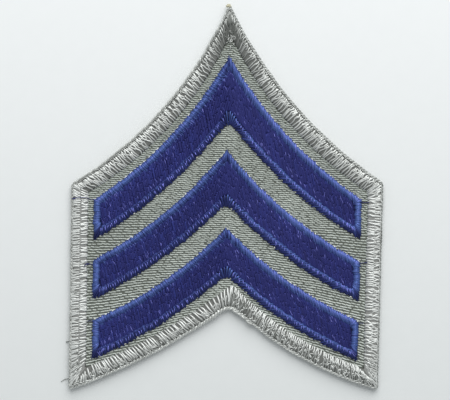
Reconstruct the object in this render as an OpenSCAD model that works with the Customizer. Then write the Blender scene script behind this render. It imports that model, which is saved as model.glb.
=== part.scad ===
// Rank chevron patch: grey twill with a merrowed border and three embroidered chevrons.
// It lies face up with its back on z = 0, +Y towards its tip and +Z out of its face.
// The origin is at the middle of the footprint, on the back.

/* [Outline] */
// Width over the widest points, from the left foot to the right shoulder
patch_w = 76.5; // [66:0.5:90]
// Height from the tip to the feet
patch_h = 93.6; // [84:0.1:110]
// Distance from the tip down to the left shoulder
shoulder_drop = 43.4; // [38:0.1:50]
// Height of the right shoulder over the left one
shoulder_lift = 0.2; // [-1:0.1:1]
// Height of the notch above the feet
notch_rise = 20.5; // [15:0.1:23]
// Radius of the sweeping curves of the legs and the chevrons
sweep_r = 102; // [80:1:160]
// Distance that the left side leans in between its foot and its shoulder
left_lean = 0.7; // [0:0.1:2]
// Distance that the right side leans in between its shoulder and its foot
right_lean = 1.3; // [0:0.1:2]
// Sideways place of the tip from the middle
tip_shift = 0.9; // [-2:0.1:2]
// Sideways place of the notch from the middle
notch_shift = 1; // [-2:0.1:2]
// Length of edge that the round of the tip takes up
tip_round = 0.7; // [0.4:0.1:1.5]
// Length of edge that the round of a shoulder or a foot takes up
side_round = 0.6; // [0.4:0.1:1.5]
// Length of edge that the round of the notch takes up
notch_round = 3; // [1:0.1:4]

/* [Cloth] */
// Thickness of the twill with its backing
cloth_t = 1; // [0.8:0.05:1.5]

/* [Border] */
// Width of the border
border_w = 3.9; // [3.2:0.1:4.6]
// Share of the way from the patch's tip, across a border of even width, at which the narrower border ends there
tip_share = 0.78; // [0.7:0.02:1]
// Height of the border's thread over the cloth
over_t = 0.75; // [0.5:0.05:1]
// Depth of the border's thread under the cloth
under_t = 0.35; // [0.25:0.05:0.6]
// Thickness of the thread round the cut edge of the cloth
wrap_t = 0.9; // [0.6:0.05:1.3]

/* [Chevrons] */
// Width of a chevron, measured square to its curves
band_w = 7.5; // [6.2:0.1:8.6]
// Strip of bare cloth between a chevron's end and the border
end_gap = 1.6; // [1:0.1:2.6]
// Lean of the line of chevron points to the left, in degrees
axis_lean = 0.85; // [0:0.05:2]
// Height of the fill stitching over the cloth
fill_h = 0.55; // [0.3:0.05:0.8]
// Width of the satin column round a chevron
rim_w = 1.35; // [1:0.05:1.8]
// Height of the satin column over the cloth
rim_h = 0.85; // [0.5:0.05:1.2]

/* [Clearances] */
// Gap between pieces that are stitched together
stitch_gap = 0.06; // [0.03:0.01:0.12]

/* [Hidden] */

// Heights of the layers, from the back
cloth_z = under_t;
face_z = cloth_z + cloth_t;
stitch_z = face_z + stitch_gap;
border_top_z = face_z + over_t;

// Steps along a curved edge, a straight edge and a rounded corner
CURVE_STEPS = 12;
STRAIGHT_STEPS = 1;
ROUND_STEPS = 4;

// Corners of the outline, clockwise from the tip, each with the edge that leaves it.
// Columns: the corner's place, its round, the edge's bend and its border as a share of border_w.
// A bend is sweep_r over the edge's radius: above 0 it sweeps into the patch, below 0 out of it,
// and at 0 the edge is straight.
PLACE = 0;
ROUND = 1;
BEND = 2;
BORDER = 3;
right_x = patch_w / 2;
left_x = -patch_w / 2;
foot_y = -patch_h / 2;
shoulder_y = patch_h / 2 - shoulder_drop;
// The round takes about half its length off the sharp tip
tip_y = patch_h / 2 + tip_round / 2;
outline = [
    [[tip_shift, tip_y], tip_round, 0.94, 1.04],
    [[right_x, shoulder_y + shoulder_lift], side_round, 0, 0.95],
    [[right_x - right_lean, foot_y], side_round, -1.2, 1.05],
    [[notch_shift, foot_y + notch_rise], notch_round, -0.7, 1.01],
    [[left_x, foot_y], side_round, 0, 1.05],
    [[left_x + left_lean, shoulder_y], side_round, 1.06, 1.04]
];

// Share of an outer corner's round that the border's inner corner has
INNER_ROUND = 0.45;

// Corners of a chevron, clockwise from its point, each with the edge that leaves it.
// Columns: the corner's round as a share of rim_w, the edge's bend and its rim's width as a share
CHEVRON_ROUND = 0;
CHEVRON_BEND = 1;
RIM = 2;
chevron_edges = [
    [0.22, 0.96, 0.9],
    [0.22, 0, 1.08],
    [0.22, -0.92, 1.2],
    [1.1, -0.92, 1.2],
    [0.22, 0, 1.08],
    [0.22, 1, 0.9]
];
FIELD_TIP = 0;
FIELD_RIGHT = 1;
FIELD_RIGHT_FOOT = 2;
FIELD_NOTCH = 3;
FIELD_LEFT_FOOT = 4;
FIELD_LEFT = 5;

// The chevrons, from the top.
// A place is a share of the room that the chevron has in the bare field, from 0 with its lower
// corner at the bottom to 1 with its upper corner at the top: in the middle, from the notch to the
// tip, and at each side, from the foot to the shoulder.
// Depths, measured down the patch, and the sideways shift of the point are shares of band_w.
POINT_PLACE = 0;
LEFT_PLACE = 1;
RIGHT_PLACE = 2;
POINT_DEPTH = 3;
LEFT_DEPTH = 4;
RIGHT_DEPTH = 5;
POINT_SHIFT = 6;
chevrons = [
    [0.88, 0.945, 0.943, 2, 1.25, 1.23, 0.02],
    [0.415, 0.506, 0.495, 1.65, 1.21, 1.22, -0.03],
    [0.053, 0.065, 0.064, 1.44, 1.21, 1.22, 0]
];

// Profile of the border, from its inner lip over the top to the purl at its edge.
// Columns: share of the border's width from the outer edge, share of the thread's height
border_over = [
    [1.00, 0.30],
    [0.93, 0.68],
    [0.75, 0.95],
    [0.50, 1.00],
    [0.30, 0.90],
    [0.19, 0.66],
    [0.12, 0.74],
    [0.04, 0.42]
];
// The rest of it, round the edge and along the back to the lower lip.
// Columns: share of the border's width from the outer edge, share of the thread's depth
border_under = [
    [0.03, 0.60],
    [0.10, -0.10],
    [0.92, -0.10],
    [1.00, 0.40]
];
// Share of the patch's thickness at which the border reaches furthest out
edge_level = 0.5;

// Profile of a satin column, from its outer foot over the top.
// Columns: share of its width, share of its height
rim_profile = [
    [0.00, 0.00],
    [0.03, 0.55],
    [0.22, 0.92],
    [0.50, 1.00],
    [0.78, 0.92],
    [0.97, 0.55],
    [1.00, 0.00]
];

function column(table, index) = [for (row = table) row[index]];
function next(list, i) = list[(i + 1) % len(list)];
function previous(list, i) = list[(i + len(list) - 1) % len(list)];
function turned(v, angle) = [
    v[0] * cos(angle) - v[1] * sin(angle),
    v[0] * sin(angle) + v[1] * cos(angle)
];
function to_right(v) = [v[1], -v[0]];
function unit(v) = v / norm(v);

// Half the angle that an edge turns through; a positive radius bulges to the right of its way
function half_turn(a, b, r) = r == 0 ? 0 : sign(r) * asin(norm(b - a) / (2 * abs(r)));
function start_way(a, b, r) = turned(unit(b - a), -half_turn(a, b, r));
function end_way(a, b, r) = turned(unit(b - a), half_turn(a, b, r));

// A point of an edge, at a share of the way from a to b
function on_edge(a, b, r, share) = r == 0 ? a + (b - a) * share : let (
    half = half_turn(a, b, abs(r)),
    along = unit(b - a),
    outward = to_right(along) * sign(r),
    centre = (a + b) / 2 - outward * abs(r) * cos(half),
    angle = half * (2 * share - 1)
) centre + abs(r) * (along * sin(angle) + outward * cos(angle));

// The corner that lies the two widths inside the edges that meet at it
function moved_corner(corner, way_in, way_out, width_in, width_out) = let (
    a = to_right(way_in),
    b = to_right(way_out),
    scale = a[0] * b[1] - a[1] * b[0]
) corner + [width_in * b[1] - width_out * a[1], width_out * a[0] - width_in * b[0]] / scale;

// Corners and radii of an outline whose edges move in by their widths
function inset_corners(corners, radii, widths) = [
    for (i = [0:len(corners) - 1]) moved_corner(
        corners[i],
        end_way(previous(corners, i), corners[i], previous(radii, i)),
        start_way(corners[i], next(corners, i), radii[i]),
        previous(widths, i),
        widths[i]
    )
];
function inset_radii(radii, widths) = [
    for (i = [0:len(radii) - 1]) radii[i] == 0 ? 0 : radii[i] + widths[i]
];

// Radius of a curved edge whose ends move to new_a and new_b while the middle of its curve keeps its place
function refitted_radius(a, b, r, new_a, new_b) = let (
    half = norm(new_b - new_a) / 2,
    rise = (on_edge(a, b, r, 0.5) - (new_a + new_b) / 2) * to_right(unit(new_b - new_a))
) (half * half + rise * rise) / (2 * rise);

function bezier(a, control, b, share) =
    a * (1 - share) * (1 - share) + control * 2 * share * (1 - share) + b * share * share;

// Points round a closed outline: each rounded corner, then the edge that leaves it
function closed_path(corners, radii, rounds) = [
    for (i = [0:len(corners) - 1]) let (
        corner = corners[i],
        target = next(corners, i),
        origin = previous(corners, i),
        length = norm(target - corner),
        length_in = norm(origin - corner),
        steps = radii[i] == 0 ? STRAIGHT_STEPS : CURVE_STEPS,
        first = rounds[i] / length,
        last = 1 - next(rounds, i) / length,
        arrival = on_edge(origin, corner, previous(radii, i), 1 - rounds[i] / length_in),
        departure = on_edge(corner, target, radii[i], first)
    ) each concat(
        [for (k = [1:ROUND_STEPS - 1]) bezier(arrival, corner, departure, k / ROUND_STEPS)],
        [for (k = [0:steps]) on_edge(corner, target, radii[i], first + (last - first) * k / steps)]
    )
];

// The outline that lies a share of the way from one closed path to another
function between(outer, inner, share) = [
    for (i = [0:len(outer) - 1]) outer[i] * (1 - share) + inner[i] * share
];

// A closed ring whose section lies between two closed paths; its profile holds shares and heights
module ring(outer, inner, profile) {
    count = len(profile);
    rings = len(outer);
    points = [
        for (i = [0:rings - 1])
            for (place = profile) let (flat = outer[i] * (1 - place[0]) + inner[i] * place[0])
                [flat[0], flat[1], place[1]]
    ];
    faces = [
        for (i = [0:rings - 1])
            for (j = [0:count - 1]) let (
                near = i * count,
                far = (i + 1) % rings * count,
                k = (j + 1) % count
            ) each [
                [near + j, far + j, far + k],
                [near + j, far + k, near + k]
            ]
    ];
    polyhedron(points = points, faces = faces, convexity = 6);
}

// The patch's outer edge, and the inner edge of its border
outer_corners = column(outline, PLACE);
function edge_radii(bends) = [for (bend = bends) bend == 0 ? 0 : sweep_r / bend];
outer_radii = edge_radii(column(outline, BEND));
border_widths = column(outline, BORDER) * border_w;
even_corners = inset_corners(outer_corners, outer_radii, border_widths);
even_radii = inset_radii(outer_radii, border_widths);
field_corners = [
    for (i = [0:len(outline) - 1]) i == FIELD_TIP
        ? outer_corners[i] * (1 - tip_share) + even_corners[i] * tip_share
        : even_corners[i]
];
field_radii = [
    for (i = [0:len(outline) - 1]) i == FIELD_TIP || i == FIELD_LEFT
        ? refitted_radius(even_corners[i], next(even_corners, i), even_radii[i], field_corners[i], next(field_corners, i))
        : even_radii[i]
];
outer_path = closed_path(outer_corners, outer_radii, column(outline, ROUND));
field_path = closed_path(field_corners, field_radii, column(outline, ROUND) * INNER_ROUND);

// Sideways places of a chevron's point and ends at a height
function point_x(y) = tip_shift - tan(axis_lean) * (tip_y - y);
function side_x(foot, shoulder, y) =
    foot[0] + (shoulder[0] - foot[0]) * (y - foot[1]) / (shoulder[1] - foot[1]);
function left_end(y) = [side_x(field_corners[FIELD_LEFT_FOOT], field_corners[FIELD_LEFT], y) + end_gap, y];
function right_end(y) = [side_x(field_corners[FIELD_RIGHT_FOOT], field_corners[FIELD_RIGHT], y) - end_gap, y];
// Height of the lower corner of a piece of some depth, between two corners of the field
function level(low, high, depth, share) = low[1] + (high[1] - low[1] - depth) * share;

// The six corners of a chevron, clockwise from its point
function chevron_corners(row) = let (
    point_depth = row[POINT_DEPTH] * band_w,
    left_depth = row[LEFT_DEPTH] * band_w,
    right_depth = row[RIGHT_DEPTH] * band_w,
    shift = [row[POINT_SHIFT] * band_w, 0],
    crotch_y = level(field_corners[FIELD_NOTCH], field_corners[FIELD_TIP], point_depth, row[POINT_PLACE]),
    left_y = level(field_corners[FIELD_LEFT_FOOT], field_corners[FIELD_LEFT], left_depth, row[LEFT_PLACE]),
    right_y = level(field_corners[FIELD_RIGHT_FOOT], field_corners[FIELD_RIGHT], right_depth, row[RIGHT_PLACE]),
    point_y = crotch_y + point_depth
) [
    [point_x(point_y), point_y] + shift,
    right_end(right_y + right_depth),
    right_end(right_y),
    [point_x(crotch_y), crotch_y] + shift,
    left_end(left_y),
    left_end(left_y + left_depth)
];
chevron_radii = edge_radii(column(chevron_edges, CHEVRON_BEND));
rim_widths = column(chevron_edges, RIM) * rim_w;
chevron_rounds = column(chevron_edges, CHEVRON_ROUND) * rim_w;

// The outline of a chevron, moved in by widths
function chevron_path(row, widths) = closed_path(
    inset_corners(chevron_corners(row), chevron_radii, widths),
    inset_radii(chevron_radii, widths),
    chevron_rounds
);

// Width of the border, as a share, that the cloth's cut edge keeps clear of its outer edge
wrap_share = wrap_t / border_w;
cut_share = (wrap_t + stitch_gap) / border_w;

module ground_cloth() {
    color([0.55, 0.57, 0.53])
        translate([0, 0, cloth_z])
            linear_extrude(height = cloth_t)
                polygon(between(outer_path, field_path, cut_share));
}

// Thread that wraps the cloth's edge: a hollow ring with a slot that the cloth sits in
module edge_border() {
    over = [for (row = border_over) [row[0], stitch_z + row[1] * (border_top_z - stitch_z)]];
    under = [for (row = border_under) [row[0], row[1] * (cloth_z - stitch_gap)]];
    slot = [
        [1, cloth_z - stitch_gap],
        [wrap_share, cloth_z - stitch_gap],
        [wrap_share, stitch_z],
        [1, stitch_z]
    ];
    profile = concat(over, [[0, edge_level * border_top_z]], under, slot);
    color([0.75, 0.76, 0.75])
        intersection() {
            ring(outer_path, field_path, profile);
            translate([-patch_w, -patch_h, 0])
                cube([2 * patch_w, 2 * patch_h, 2 * border_top_z]);
        }
}

module chevron_fill(row) {
    color([0.15, 0.14, 0.4])
        translate([0, 0, stitch_z])
            linear_extrude(height = fill_h)
                polygon(chevron_path(row, rim_widths + [for (width = rim_widths) stitch_gap]));
}

module chevron_rim(row) {
    color([0.25, 0.32, 0.7])
        ring(
            chevron_path(row, 0 * rim_widths),
            chevron_path(row, rim_widths),
            [for (place = rim_profile) [place[0], stitch_z + place[1] * rim_h]]
        );
}

ground_cloth();
edge_border();
chevron_fill(chevrons[0]);  // chevron_top_fill
chevron_rim(chevrons[0]);  // chevron_top_rim
chevron_fill(chevrons[1]);  // chevron_middle_fill
chevron_rim(chevrons[1]);  // chevron_middle_rim
chevron_fill(chevrons[2]);  // chevron_bottom_fill
chevron_rim(chevrons[2]);  // chevron_bottom_rim
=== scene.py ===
# Rank chevron patch: grey twill, a merrowed border and three embroidered chevrons, thread by thread.
# It lies face up with its back on z = 0, +Y towards its tip and +Z out of its face.
import math

import bpy
import numpy as np
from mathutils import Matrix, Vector


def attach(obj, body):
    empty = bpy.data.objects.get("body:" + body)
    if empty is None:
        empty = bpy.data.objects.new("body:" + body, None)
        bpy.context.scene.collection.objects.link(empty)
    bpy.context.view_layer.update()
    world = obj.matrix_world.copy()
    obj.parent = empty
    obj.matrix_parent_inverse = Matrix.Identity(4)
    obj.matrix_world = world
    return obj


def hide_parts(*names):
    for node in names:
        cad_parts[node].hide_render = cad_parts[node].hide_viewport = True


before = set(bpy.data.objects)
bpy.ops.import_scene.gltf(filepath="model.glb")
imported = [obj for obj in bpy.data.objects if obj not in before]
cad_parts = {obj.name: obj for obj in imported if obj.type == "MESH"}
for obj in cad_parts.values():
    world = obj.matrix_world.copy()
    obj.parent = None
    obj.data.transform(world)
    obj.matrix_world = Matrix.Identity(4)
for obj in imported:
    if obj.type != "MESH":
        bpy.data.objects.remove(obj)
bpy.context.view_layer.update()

# Every length below is in millimetres, and a mesh is made in metres
MM = 0.001

# Camera: straight above the patch, as far off as a long lens needs
PHOTO_W = 109.35
CAMERA_X = -0.24
CAMERA_Y = -0.61
LENS = 200.0
SENSOR = 36.0
FACE_LEVEL = 1.5

# Sizes of the patch
PATCH_W = 76.5
PATCH_H = 93.6
SHOULDER_DROP = 43.4
SHOULDER_LIFT = 0.2
NOTCH_RISE = 20.5
SWEEP_R = 102.0
LEFT_LEAN = 0.7
RIGHT_LEAN = 1.3
TIP_SHIFT = 0.9
NOTCH_SHIFT = 1.0
TIP_ROUND = 0.7
SIDE_ROUND = 0.6
NOTCH_ROUND = 3.0
INNER_ROUND = 0.45
CLOTH_T = 1.0
BORDER_W = 3.9
TIP_SHARE = 0.78
UNDER_T = 0.35
WRAP_T = 0.9
BAND_W = 7.5
END_GAP = 1.6
AXIS_LEAN = math.radians(0.85)
RIM_W = 1.35
RIM_H = 0.85
STITCH_GAP = 0.06

# Heights of the layers
CLOTH_Z = UNDER_T
FACE_Z = CLOTH_Z + CLOTH_T
STITCH_Z = FACE_Z + STITCH_GAP

# Edges of the outline, clockwise from the tip. A chevron's upper edges, ends and lower edges have the numbers
# of the arms, sides and legs
RIGHT_ARM, RIGHT_SIDE, RIGHT_LEG, LEFT_LEG, LEFT_SIDE, LEFT_ARM = range(6)
ARMS = (RIGHT_ARM, LEFT_ARM)
SIDES = (RIGHT_SIDE, LEFT_SIDE)
LEGS = (RIGHT_LEG, LEFT_LEG)

# Corners of the outline, each with the edge that leaves it: its place, its round, the edge's bend, its
# border's width as a share, and how far the strands fan out at the edge's start and end
right_x = PATCH_W / 2
left_x = -PATCH_W / 2
foot_y = -PATCH_H / 2
shoulder_y = PATCH_H / 2 - SHOULDER_DROP
tip_y = PATCH_H / 2 + TIP_ROUND / 2
OUTLINE = [
    ((TIP_SHIFT, tip_y), TIP_ROUND, 0.94, 1.04, (14.0, 4.0)),
    ((right_x, shoulder_y + SHOULDER_LIFT), SIDE_ROUND, 0, 0.95, (4.0, 4.0)),
    ((right_x - RIGHT_LEAN, foot_y), SIDE_ROUND, -1.2, 1.05, (4.0, 4.5)),
    ((NOTCH_SHIFT, foot_y + NOTCH_RISE), NOTCH_ROUND, -0.7, 1.01, (4.5, 4.0)),
    ((left_x, foot_y), SIDE_ROUND, 0, 1.05, (4.0, 4.0)),
    ((left_x + LEFT_LEAN, shoulder_y), SIDE_ROUND, 1.06, 1.04, (4.0, 22.0)),
]
# Corners of a chevron, clockwise from its point: round as a share of the rim's width, bend, rim's width as a
# share, and the pitch and slant of the rim's strands
CHEVRON_EDGES = [
    (0.22, 0.96, 0.9, 0.3, 1.3),
    (0.22, 0, 1.08, 0.28, 0.0),
    (0.22, -0.92, 1.2, 0.36, -1.9),
    (1.1, -0.92, 1.2, 0.36, 0.1),
    (0.22, 0, 1.08, 0.28, 0.0),
    (0.22, 1, 0.9, 0.3, 0.1),
]
# The chevrons from the top: places of the point, left and right ends, their depths, and the point's shift
CHEVRONS = {
    "top": (0.88, 0.945, 0.943, 2, 1.25, 1.23, 0.02),
    "middle": (0.415, 0.506, 0.495, 1.65, 1.21, 1.22, -0.03),
    "bottom": (0.053, 0.065, 0.064, 1.44, 1.21, 1.22, 0),
}
# Seeds of what is placed by chance
RIB_SEED = 11
EDGE_FLOAT_SEED = 12
STROKE_SEED = 21
WRAP_SEED = 22
LOOP_SEED = 31
PURL_SEED = 41
TUFT_SEED = 43
FILL_SEEDS = {"top": 51, "middle": 52, "bottom": 53}
RIM_SEEDS = {"top": 61, "middle": 62, "bottom": 63}

# Points along an edge and along half of a rounded corner
EDGE_STEPS = 60
ROUND_STEPS = 6
# Half the stretch over which a line's way is taken
WAY_REACH = 0.3
# How far strands fan out from a corner: at least so many lengths of its mitre, at most this share of the edge
LEAST_FAN = 2.1
MOST_FAN = 0.45
# How far from a corner strands are cropped, in lengths of their fan
CROP_REACH = 1.3
# Sides of a thread's section: of packed threads, of loose ones and of the border's thick strokes
PACKED_SIDES = 5
THREAD_SIDES = 6
STROKE_SIDES = 8


# Flat geometry
def unit(v):
    return v / np.linalg.norm(v, axis=-1, keepdims=True)


def turned(v, angle):
    c, s = math.cos(angle), math.sin(angle)
    return np.array([v[0] * c - v[1] * s, v[0] * s + v[1] * c])


def to_right(v):
    return np.stack([v[..., 1], -v[..., 0]], axis=-1)


def half_turn(a, b, r):
    return math.copysign(math.asin(np.linalg.norm(b - a) / (2 * abs(r))), r) if r else 0.0


def start_way(a, b, r):
    return turned(unit(b - a), -half_turn(a, b, r))


def end_way(a, b, r):
    return turned(unit(b - a), half_turn(a, b, r))


def on_edge(a, b, r, share):
    """Points of a swept edge at shares of the way from a to b."""
    share = np.asarray(share, float)[:, None]
    if not r:
        return a + (b - a) * share
    half = half_turn(a, b, abs(r))
    along = unit(b - a)
    outward = to_right(along) * math.copysign(1, r)
    centre = (a + b) / 2 - outward * abs(r) * math.cos(half)
    angle = half * (2 * share - 1)
    return centre + abs(r) * (along * np.sin(angle) + outward * np.cos(angle))


def inset_corners(corners, radii, widths):
    """The corners of an outline whose edges move in by their widths."""
    moved = []
    for i, corner in enumerate(corners):
        before, after = corners[i - 1], corners[(i + 1) % len(corners)]
        a = to_right(end_way(before, corner, radii[i - 1]))
        b = to_right(start_way(corner, after, radii[i]))
        scale = a[0] * b[1] - a[1] * b[0]
        in_w, out_w = widths[i - 1], widths[i]
        step = np.array([in_w * b[1] - out_w * a[1], out_w * a[0] - in_w * b[0]]) / scale
        moved.append(corner + step)
    return moved


def inset_radii(radii, widths):
    return [r + w if r else 0 for r, w in zip(radii, widths)]


def refitted_radius(a, b, r, new_a, new_b):
    """Radius of a curved edge whose ends move while the middle of its curve keeps its place."""
    half = np.linalg.norm(new_b - new_a) / 2
    rise = np.dot(on_edge(a, b, r, [0.5])[0] - (new_a + new_b) / 2, to_right(unit(new_b - new_a)))
    return float((half * half + rise * rise) / (2 * rise))


def edge_radii(bends):
    return [SWEEP_R / bend if bend else 0 for bend in bends]


def edge_lines(corners, radii, rounds):
    """One line of points for each edge, from the middle of a rounded corner to the middle of the next."""
    count = len(corners)
    lines, arcs = [], []
    for i in range(count):
        a, b, r = corners[i], corners[(i + 1) % count], radii[i]
        length = np.linalg.norm(b - a)
        first, last = rounds[i] / length, 1 - rounds[(i + 1) % count] / length
        lines.append(on_edge(a, b, r, np.linspace(first, last, EDGE_STEPS)))
    for i in range(count):
        start, end, corner = lines[i - 1][-1], lines[i][0], corners[i]
        t = np.linspace(0, 1, 2 * ROUND_STEPS + 1)[:, None]
        arcs.append(start * (1 - t) ** 2 + corner * 2 * t * (1 - t) + end * t**2)
    whole = []
    for i in range(count):
        head = arcs[i][ROUND_STEPS:-1]
        tail = arcs[(i + 1) % count][1:ROUND_STEPS + 1]
        whole.append(np.concatenate([head, lines[i], tail]))
    return whole


def run_length(line):
    return float(np.linalg.norm(np.diff(line, axis=0), axis=1).sum())


def walk(line, distance):
    """Points of a line at distances along it."""
    reach = np.concatenate([[0], np.cumsum(np.linalg.norm(np.diff(line, axis=0), axis=1))])
    distance = np.clip(distance, 0, reach[-1])
    return np.stack([np.interp(distance, reach, line[:, 0]), np.interp(distance, reach, line[:, 1])], axis=-1)


def way_along(line, distance):
    """The way of a line at distances along it."""
    return unit(walk(line, distance + WAY_REACH) - walk(line, distance - WAY_REACH))


class Loop:
    """A closed outline with its corners, its edges' radii and its lines."""

    def __init__(self, corners, radii, rounds):
        self.corners = [np.asarray(c, float) for c in corners]
        self.radii = radii
        self.rounds = rounds
        self.lines = edge_lines(self.corners, radii, rounds)

    def length(self, i):
        return run_length(self.lines[i])

    def inset(self, widths, round_share=1.0):
        rounds = [r * round_share for r in self.rounds]
        return Loop(inset_corners(self.corners, self.radii, widths), inset_radii(self.radii, widths), rounds)

    def points(self):
        return np.concatenate([line[:-1] for line in self.lines])

    def mitres(self, other, i):
        """How far along edge i the other loop's corners lie from this loop's, at its start and at its end."""
        k = (i + 1) % len(self.corners)
        way_out = start_way(self.corners[i], self.corners[k], self.radii[i])
        way_in = end_way(self.corners[i], self.corners[k], self.radii[i])
        start = np.dot(other.corners[i] - self.corners[i], way_out)
        end = np.dot(self.corners[k] - other.corners[k], way_in)
        return float(start), float(end)


def feet_across(outer, inner, i, distance, fan, slant=0.0, cropped=(0.0, 0.0)):
    """For strands that cross from an outer loop to an inner one: their two feet and the way of the edge.
    They stand square to the edge, apart from the slant, and fan out towards its corners.
    Where they are cropped they keep their way instead and end at the corner's mitre."""
    line_out, line_in = outer.lines[i], inner.lines[i]
    long_out, long_in = run_length(line_out), run_length(line_in)
    mitres = outer.mitres(inner, i)
    reaches = [min(max(LEAST_FAN * mitre, least), MOST_FAN * long_out) for mitre, least in zip(mitres, fan)]
    knots = [0, reaches[0], long_out - reaches[1], long_out]
    places = [0, reaches[0] - mitres[0], long_in - (reaches[1] - mitres[1]), long_in]
    ease = np.clip(np.minimum(distance / fan[0], (long_out - distance) / fan[1]), 0, 1)
    feet_in = walk(line_in, np.interp(distance, knots, places) + slant * ease)
    for at_end, share in enumerate(cropped):
        if share:
            corner = (i + at_end) % len(outer.corners)
            mitre, reach = mitres[at_end], reaches[at_end]
            gone = (long_out - distance if at_end else distance) - mitre + slant * (-1) ** at_end
            depth = np.clip(-gone / mitre, 0, 1)[:, None]
            kept = walk(line_in, np.clip(long_in - gone if at_end else gone, 0, long_in))
            kept = kept + (outer.corners[corner] - inner.corners[corner]) * depth
            near = np.clip(CROP_REACH * reach - (gone + mitre), 0, 1)[:, None]
            feet_in = feet_in + (kept - feet_in) * share * near
    return walk(line_out, distance), feet_in, way_along(line_out, distance)


def crossing(feet_out, feet_in, shares):
    """Flat points at shares of the way from the outer feet of strands to their inner ones."""
    shares = shares[..., None] if shares.ndim == 2 else shares[None, :, None]
    return feet_out[:, None, :] * (1 - shares) + feet_in[:, None, :] * shares


# Mesh making
def make_piece(name, verts, faces, smooth=True, tone=None, thread_uv=None):
    """A mesh object from points in mm, with a tone for each point and thread coordinates."""
    mesh = bpy.data.meshes.new(name)
    mesh.from_pydata((np.asarray(verts) * MM).tolist(), [], faces)
    mesh.polygons.foreach_set("use_smooth", [smooth] * len(mesh.polygons))
    if tone is not None:
        tones = mesh.attributes.new("tone", "FLOAT", "POINT")
        tones.data.foreach_set("value", np.asarray(tone, np.float32).ravel())
    if thread_uv is not None:
        corners = np.empty(len(mesh.loops), int)
        mesh.loops.foreach_get("vertex_index", corners)
        layer = mesh.uv_layers.new(name="thread")
        layer.data.foreach_set("uv", np.asarray(thread_uv, np.float32)[corners].ravel())
    mesh.update()
    piece = bpy.data.objects.new(name, mesh)
    bpy.context.scene.collection.objects.link(piece)
    return piece


def strand_mesh(lines, across, half_w, half_h, sides, tone):
    """Tubes along lines (strands, points, 3). across is each strand's sideways direction, and half_w and
    half_h are the half sizes of its section, sideways and square to that.
    Gives points, faces, tones and coordinates."""
    count, steps, _ = lines.shape
    half_w = np.broadcast_to(half_w, (count, steps))[:, :, None, None]
    half_h = np.broadcast_to(half_h, (count, steps))[:, :, None, None]
    tangent = unit(np.gradient(lines, axis=1) + 1e-9)
    across = across if across.ndim == 3 else across[:, None, :]
    up = unit(np.cross(np.broadcast_to(across, lines.shape), tangent))
    up = up * np.where(up[:, steps // 2, 2] < 0, -1.0, 1.0)[:, None, None]
    side = np.cross(tangent, up)
    turn = 2 * math.pi * (np.arange(sides) + 0.5) / sides - math.pi / 2
    sideways = side[:, :, None, :] * (np.cos(turn)[:, None] * half_w)
    upwards = up[:, :, None, :] * (np.sin(turn)[:, None] * half_h)
    verts = (lines[:, :, None, :] + (sideways + upwards)).reshape(-1, 3)
    first = (np.arange(count) * steps * sides)[:, None, None] + (np.arange(steps - 1) * sides)[None, :, None]
    here = first + np.arange(sides)[None, None, :]
    beside = first + ((np.arange(sides) + 1) % sides)[None, None, :]
    quads = np.stack([here, beside, beside + sides, here + sides], axis=-1).reshape(-1, 4)
    start = (np.arange(count) * steps * sides)[:, None]
    cap_a = start + np.arange(sides)[::-1][None, :]
    cap_b = start + (steps - 1) * sides + np.arange(sides)[None, :]
    faces = quads.tolist() + cap_a.tolist() + cap_b.tolist()
    links = np.linalg.norm(np.diff(lines, axis=1), axis=2)
    gone = np.concatenate([np.zeros((count, 1)), np.cumsum(links, axis=1)], axis=1)
    u = np.broadcast_to(gone[:, :, None], (count, steps, sides))
    v = np.broadcast_to((np.arange(sides) / sides)[None, None, :], (count, steps, sides))
    tone = np.asarray(tone)
    tone = tone[:, :, None] if tone.ndim == 2 else tone[:, None, None]
    tone = np.broadcast_to(tone, (count, steps, sides))
    return verts, faces, tone.ravel(), np.stack([u, v], axis=-1).reshape(-1, 2)


def strand_piece(name, parts):
    """One piece of several strand meshes."""
    verts, faces, tones, uvs, base = [], [], [], [], 0
    for part_verts, part_faces, part_tone, part_uv in parts:
        verts.append(part_verts)
        faces += [[index + base for index in face] for face in part_faces]
        tones.append(part_tone)
        uvs.append(part_uv)
        base += len(part_verts)
    tone, uv = np.concatenate(tones), np.concatenate(uvs)
    return make_piece(name, np.concatenate(verts), faces, tone=tone, thread_uv=uv)


def lifted(flat, z):
    """Flat points with a height."""
    z = np.broadcast_to(z, flat.shape[:-1])
    return np.concatenate([flat, z[..., None]], axis=-1)


def level_way(way):
    return np.concatenate([way, np.zeros((len(way), 1))], axis=-1)


def same_way(way, count):
    """One way for each of many strands."""
    return np.tile(np.array(way), (count, 1))


def evenly(rng, length, count, stray):
    """Places spread evenly over a length, apart from a stray by chance."""
    return (np.arange(count) + 0.5) * length / count + rng.normal(0, stray, count)


def spindle(steps, blunt=0.12, power=0.5):
    """Share of its full thickness that a short thread has along it: it thins out towards its ends."""
    return np.sin(math.pi * np.clip(steps, blunt, 1 - blunt)) ** power


def arch(steps):
    """Rise of a short thread between its ends."""
    return np.sin(math.pi * steps)[None, :]


def mixed_tones(rng, tone, spread, count):
    return np.clip(rng.normal(tone, spread, count), 0, 1)


def slack_threads(rng, flat, z, across, half_w, sizes, flatness, tone, spread):
    """Short threads that thin out towards their ends, each a little thicker or thinner, lighter or darker."""
    count, steps = flat.shape[:2]
    half = half_w * spindle(np.linspace(0, 1, steps))[None, :] * rng.uniform(*sizes, (count, 1))
    tones = mixed_tones(rng, tone, spread, count)
    return strand_mesh(lifted(flat, z), across, half, flatness * half, THREAD_SIDES, tones)


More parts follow.
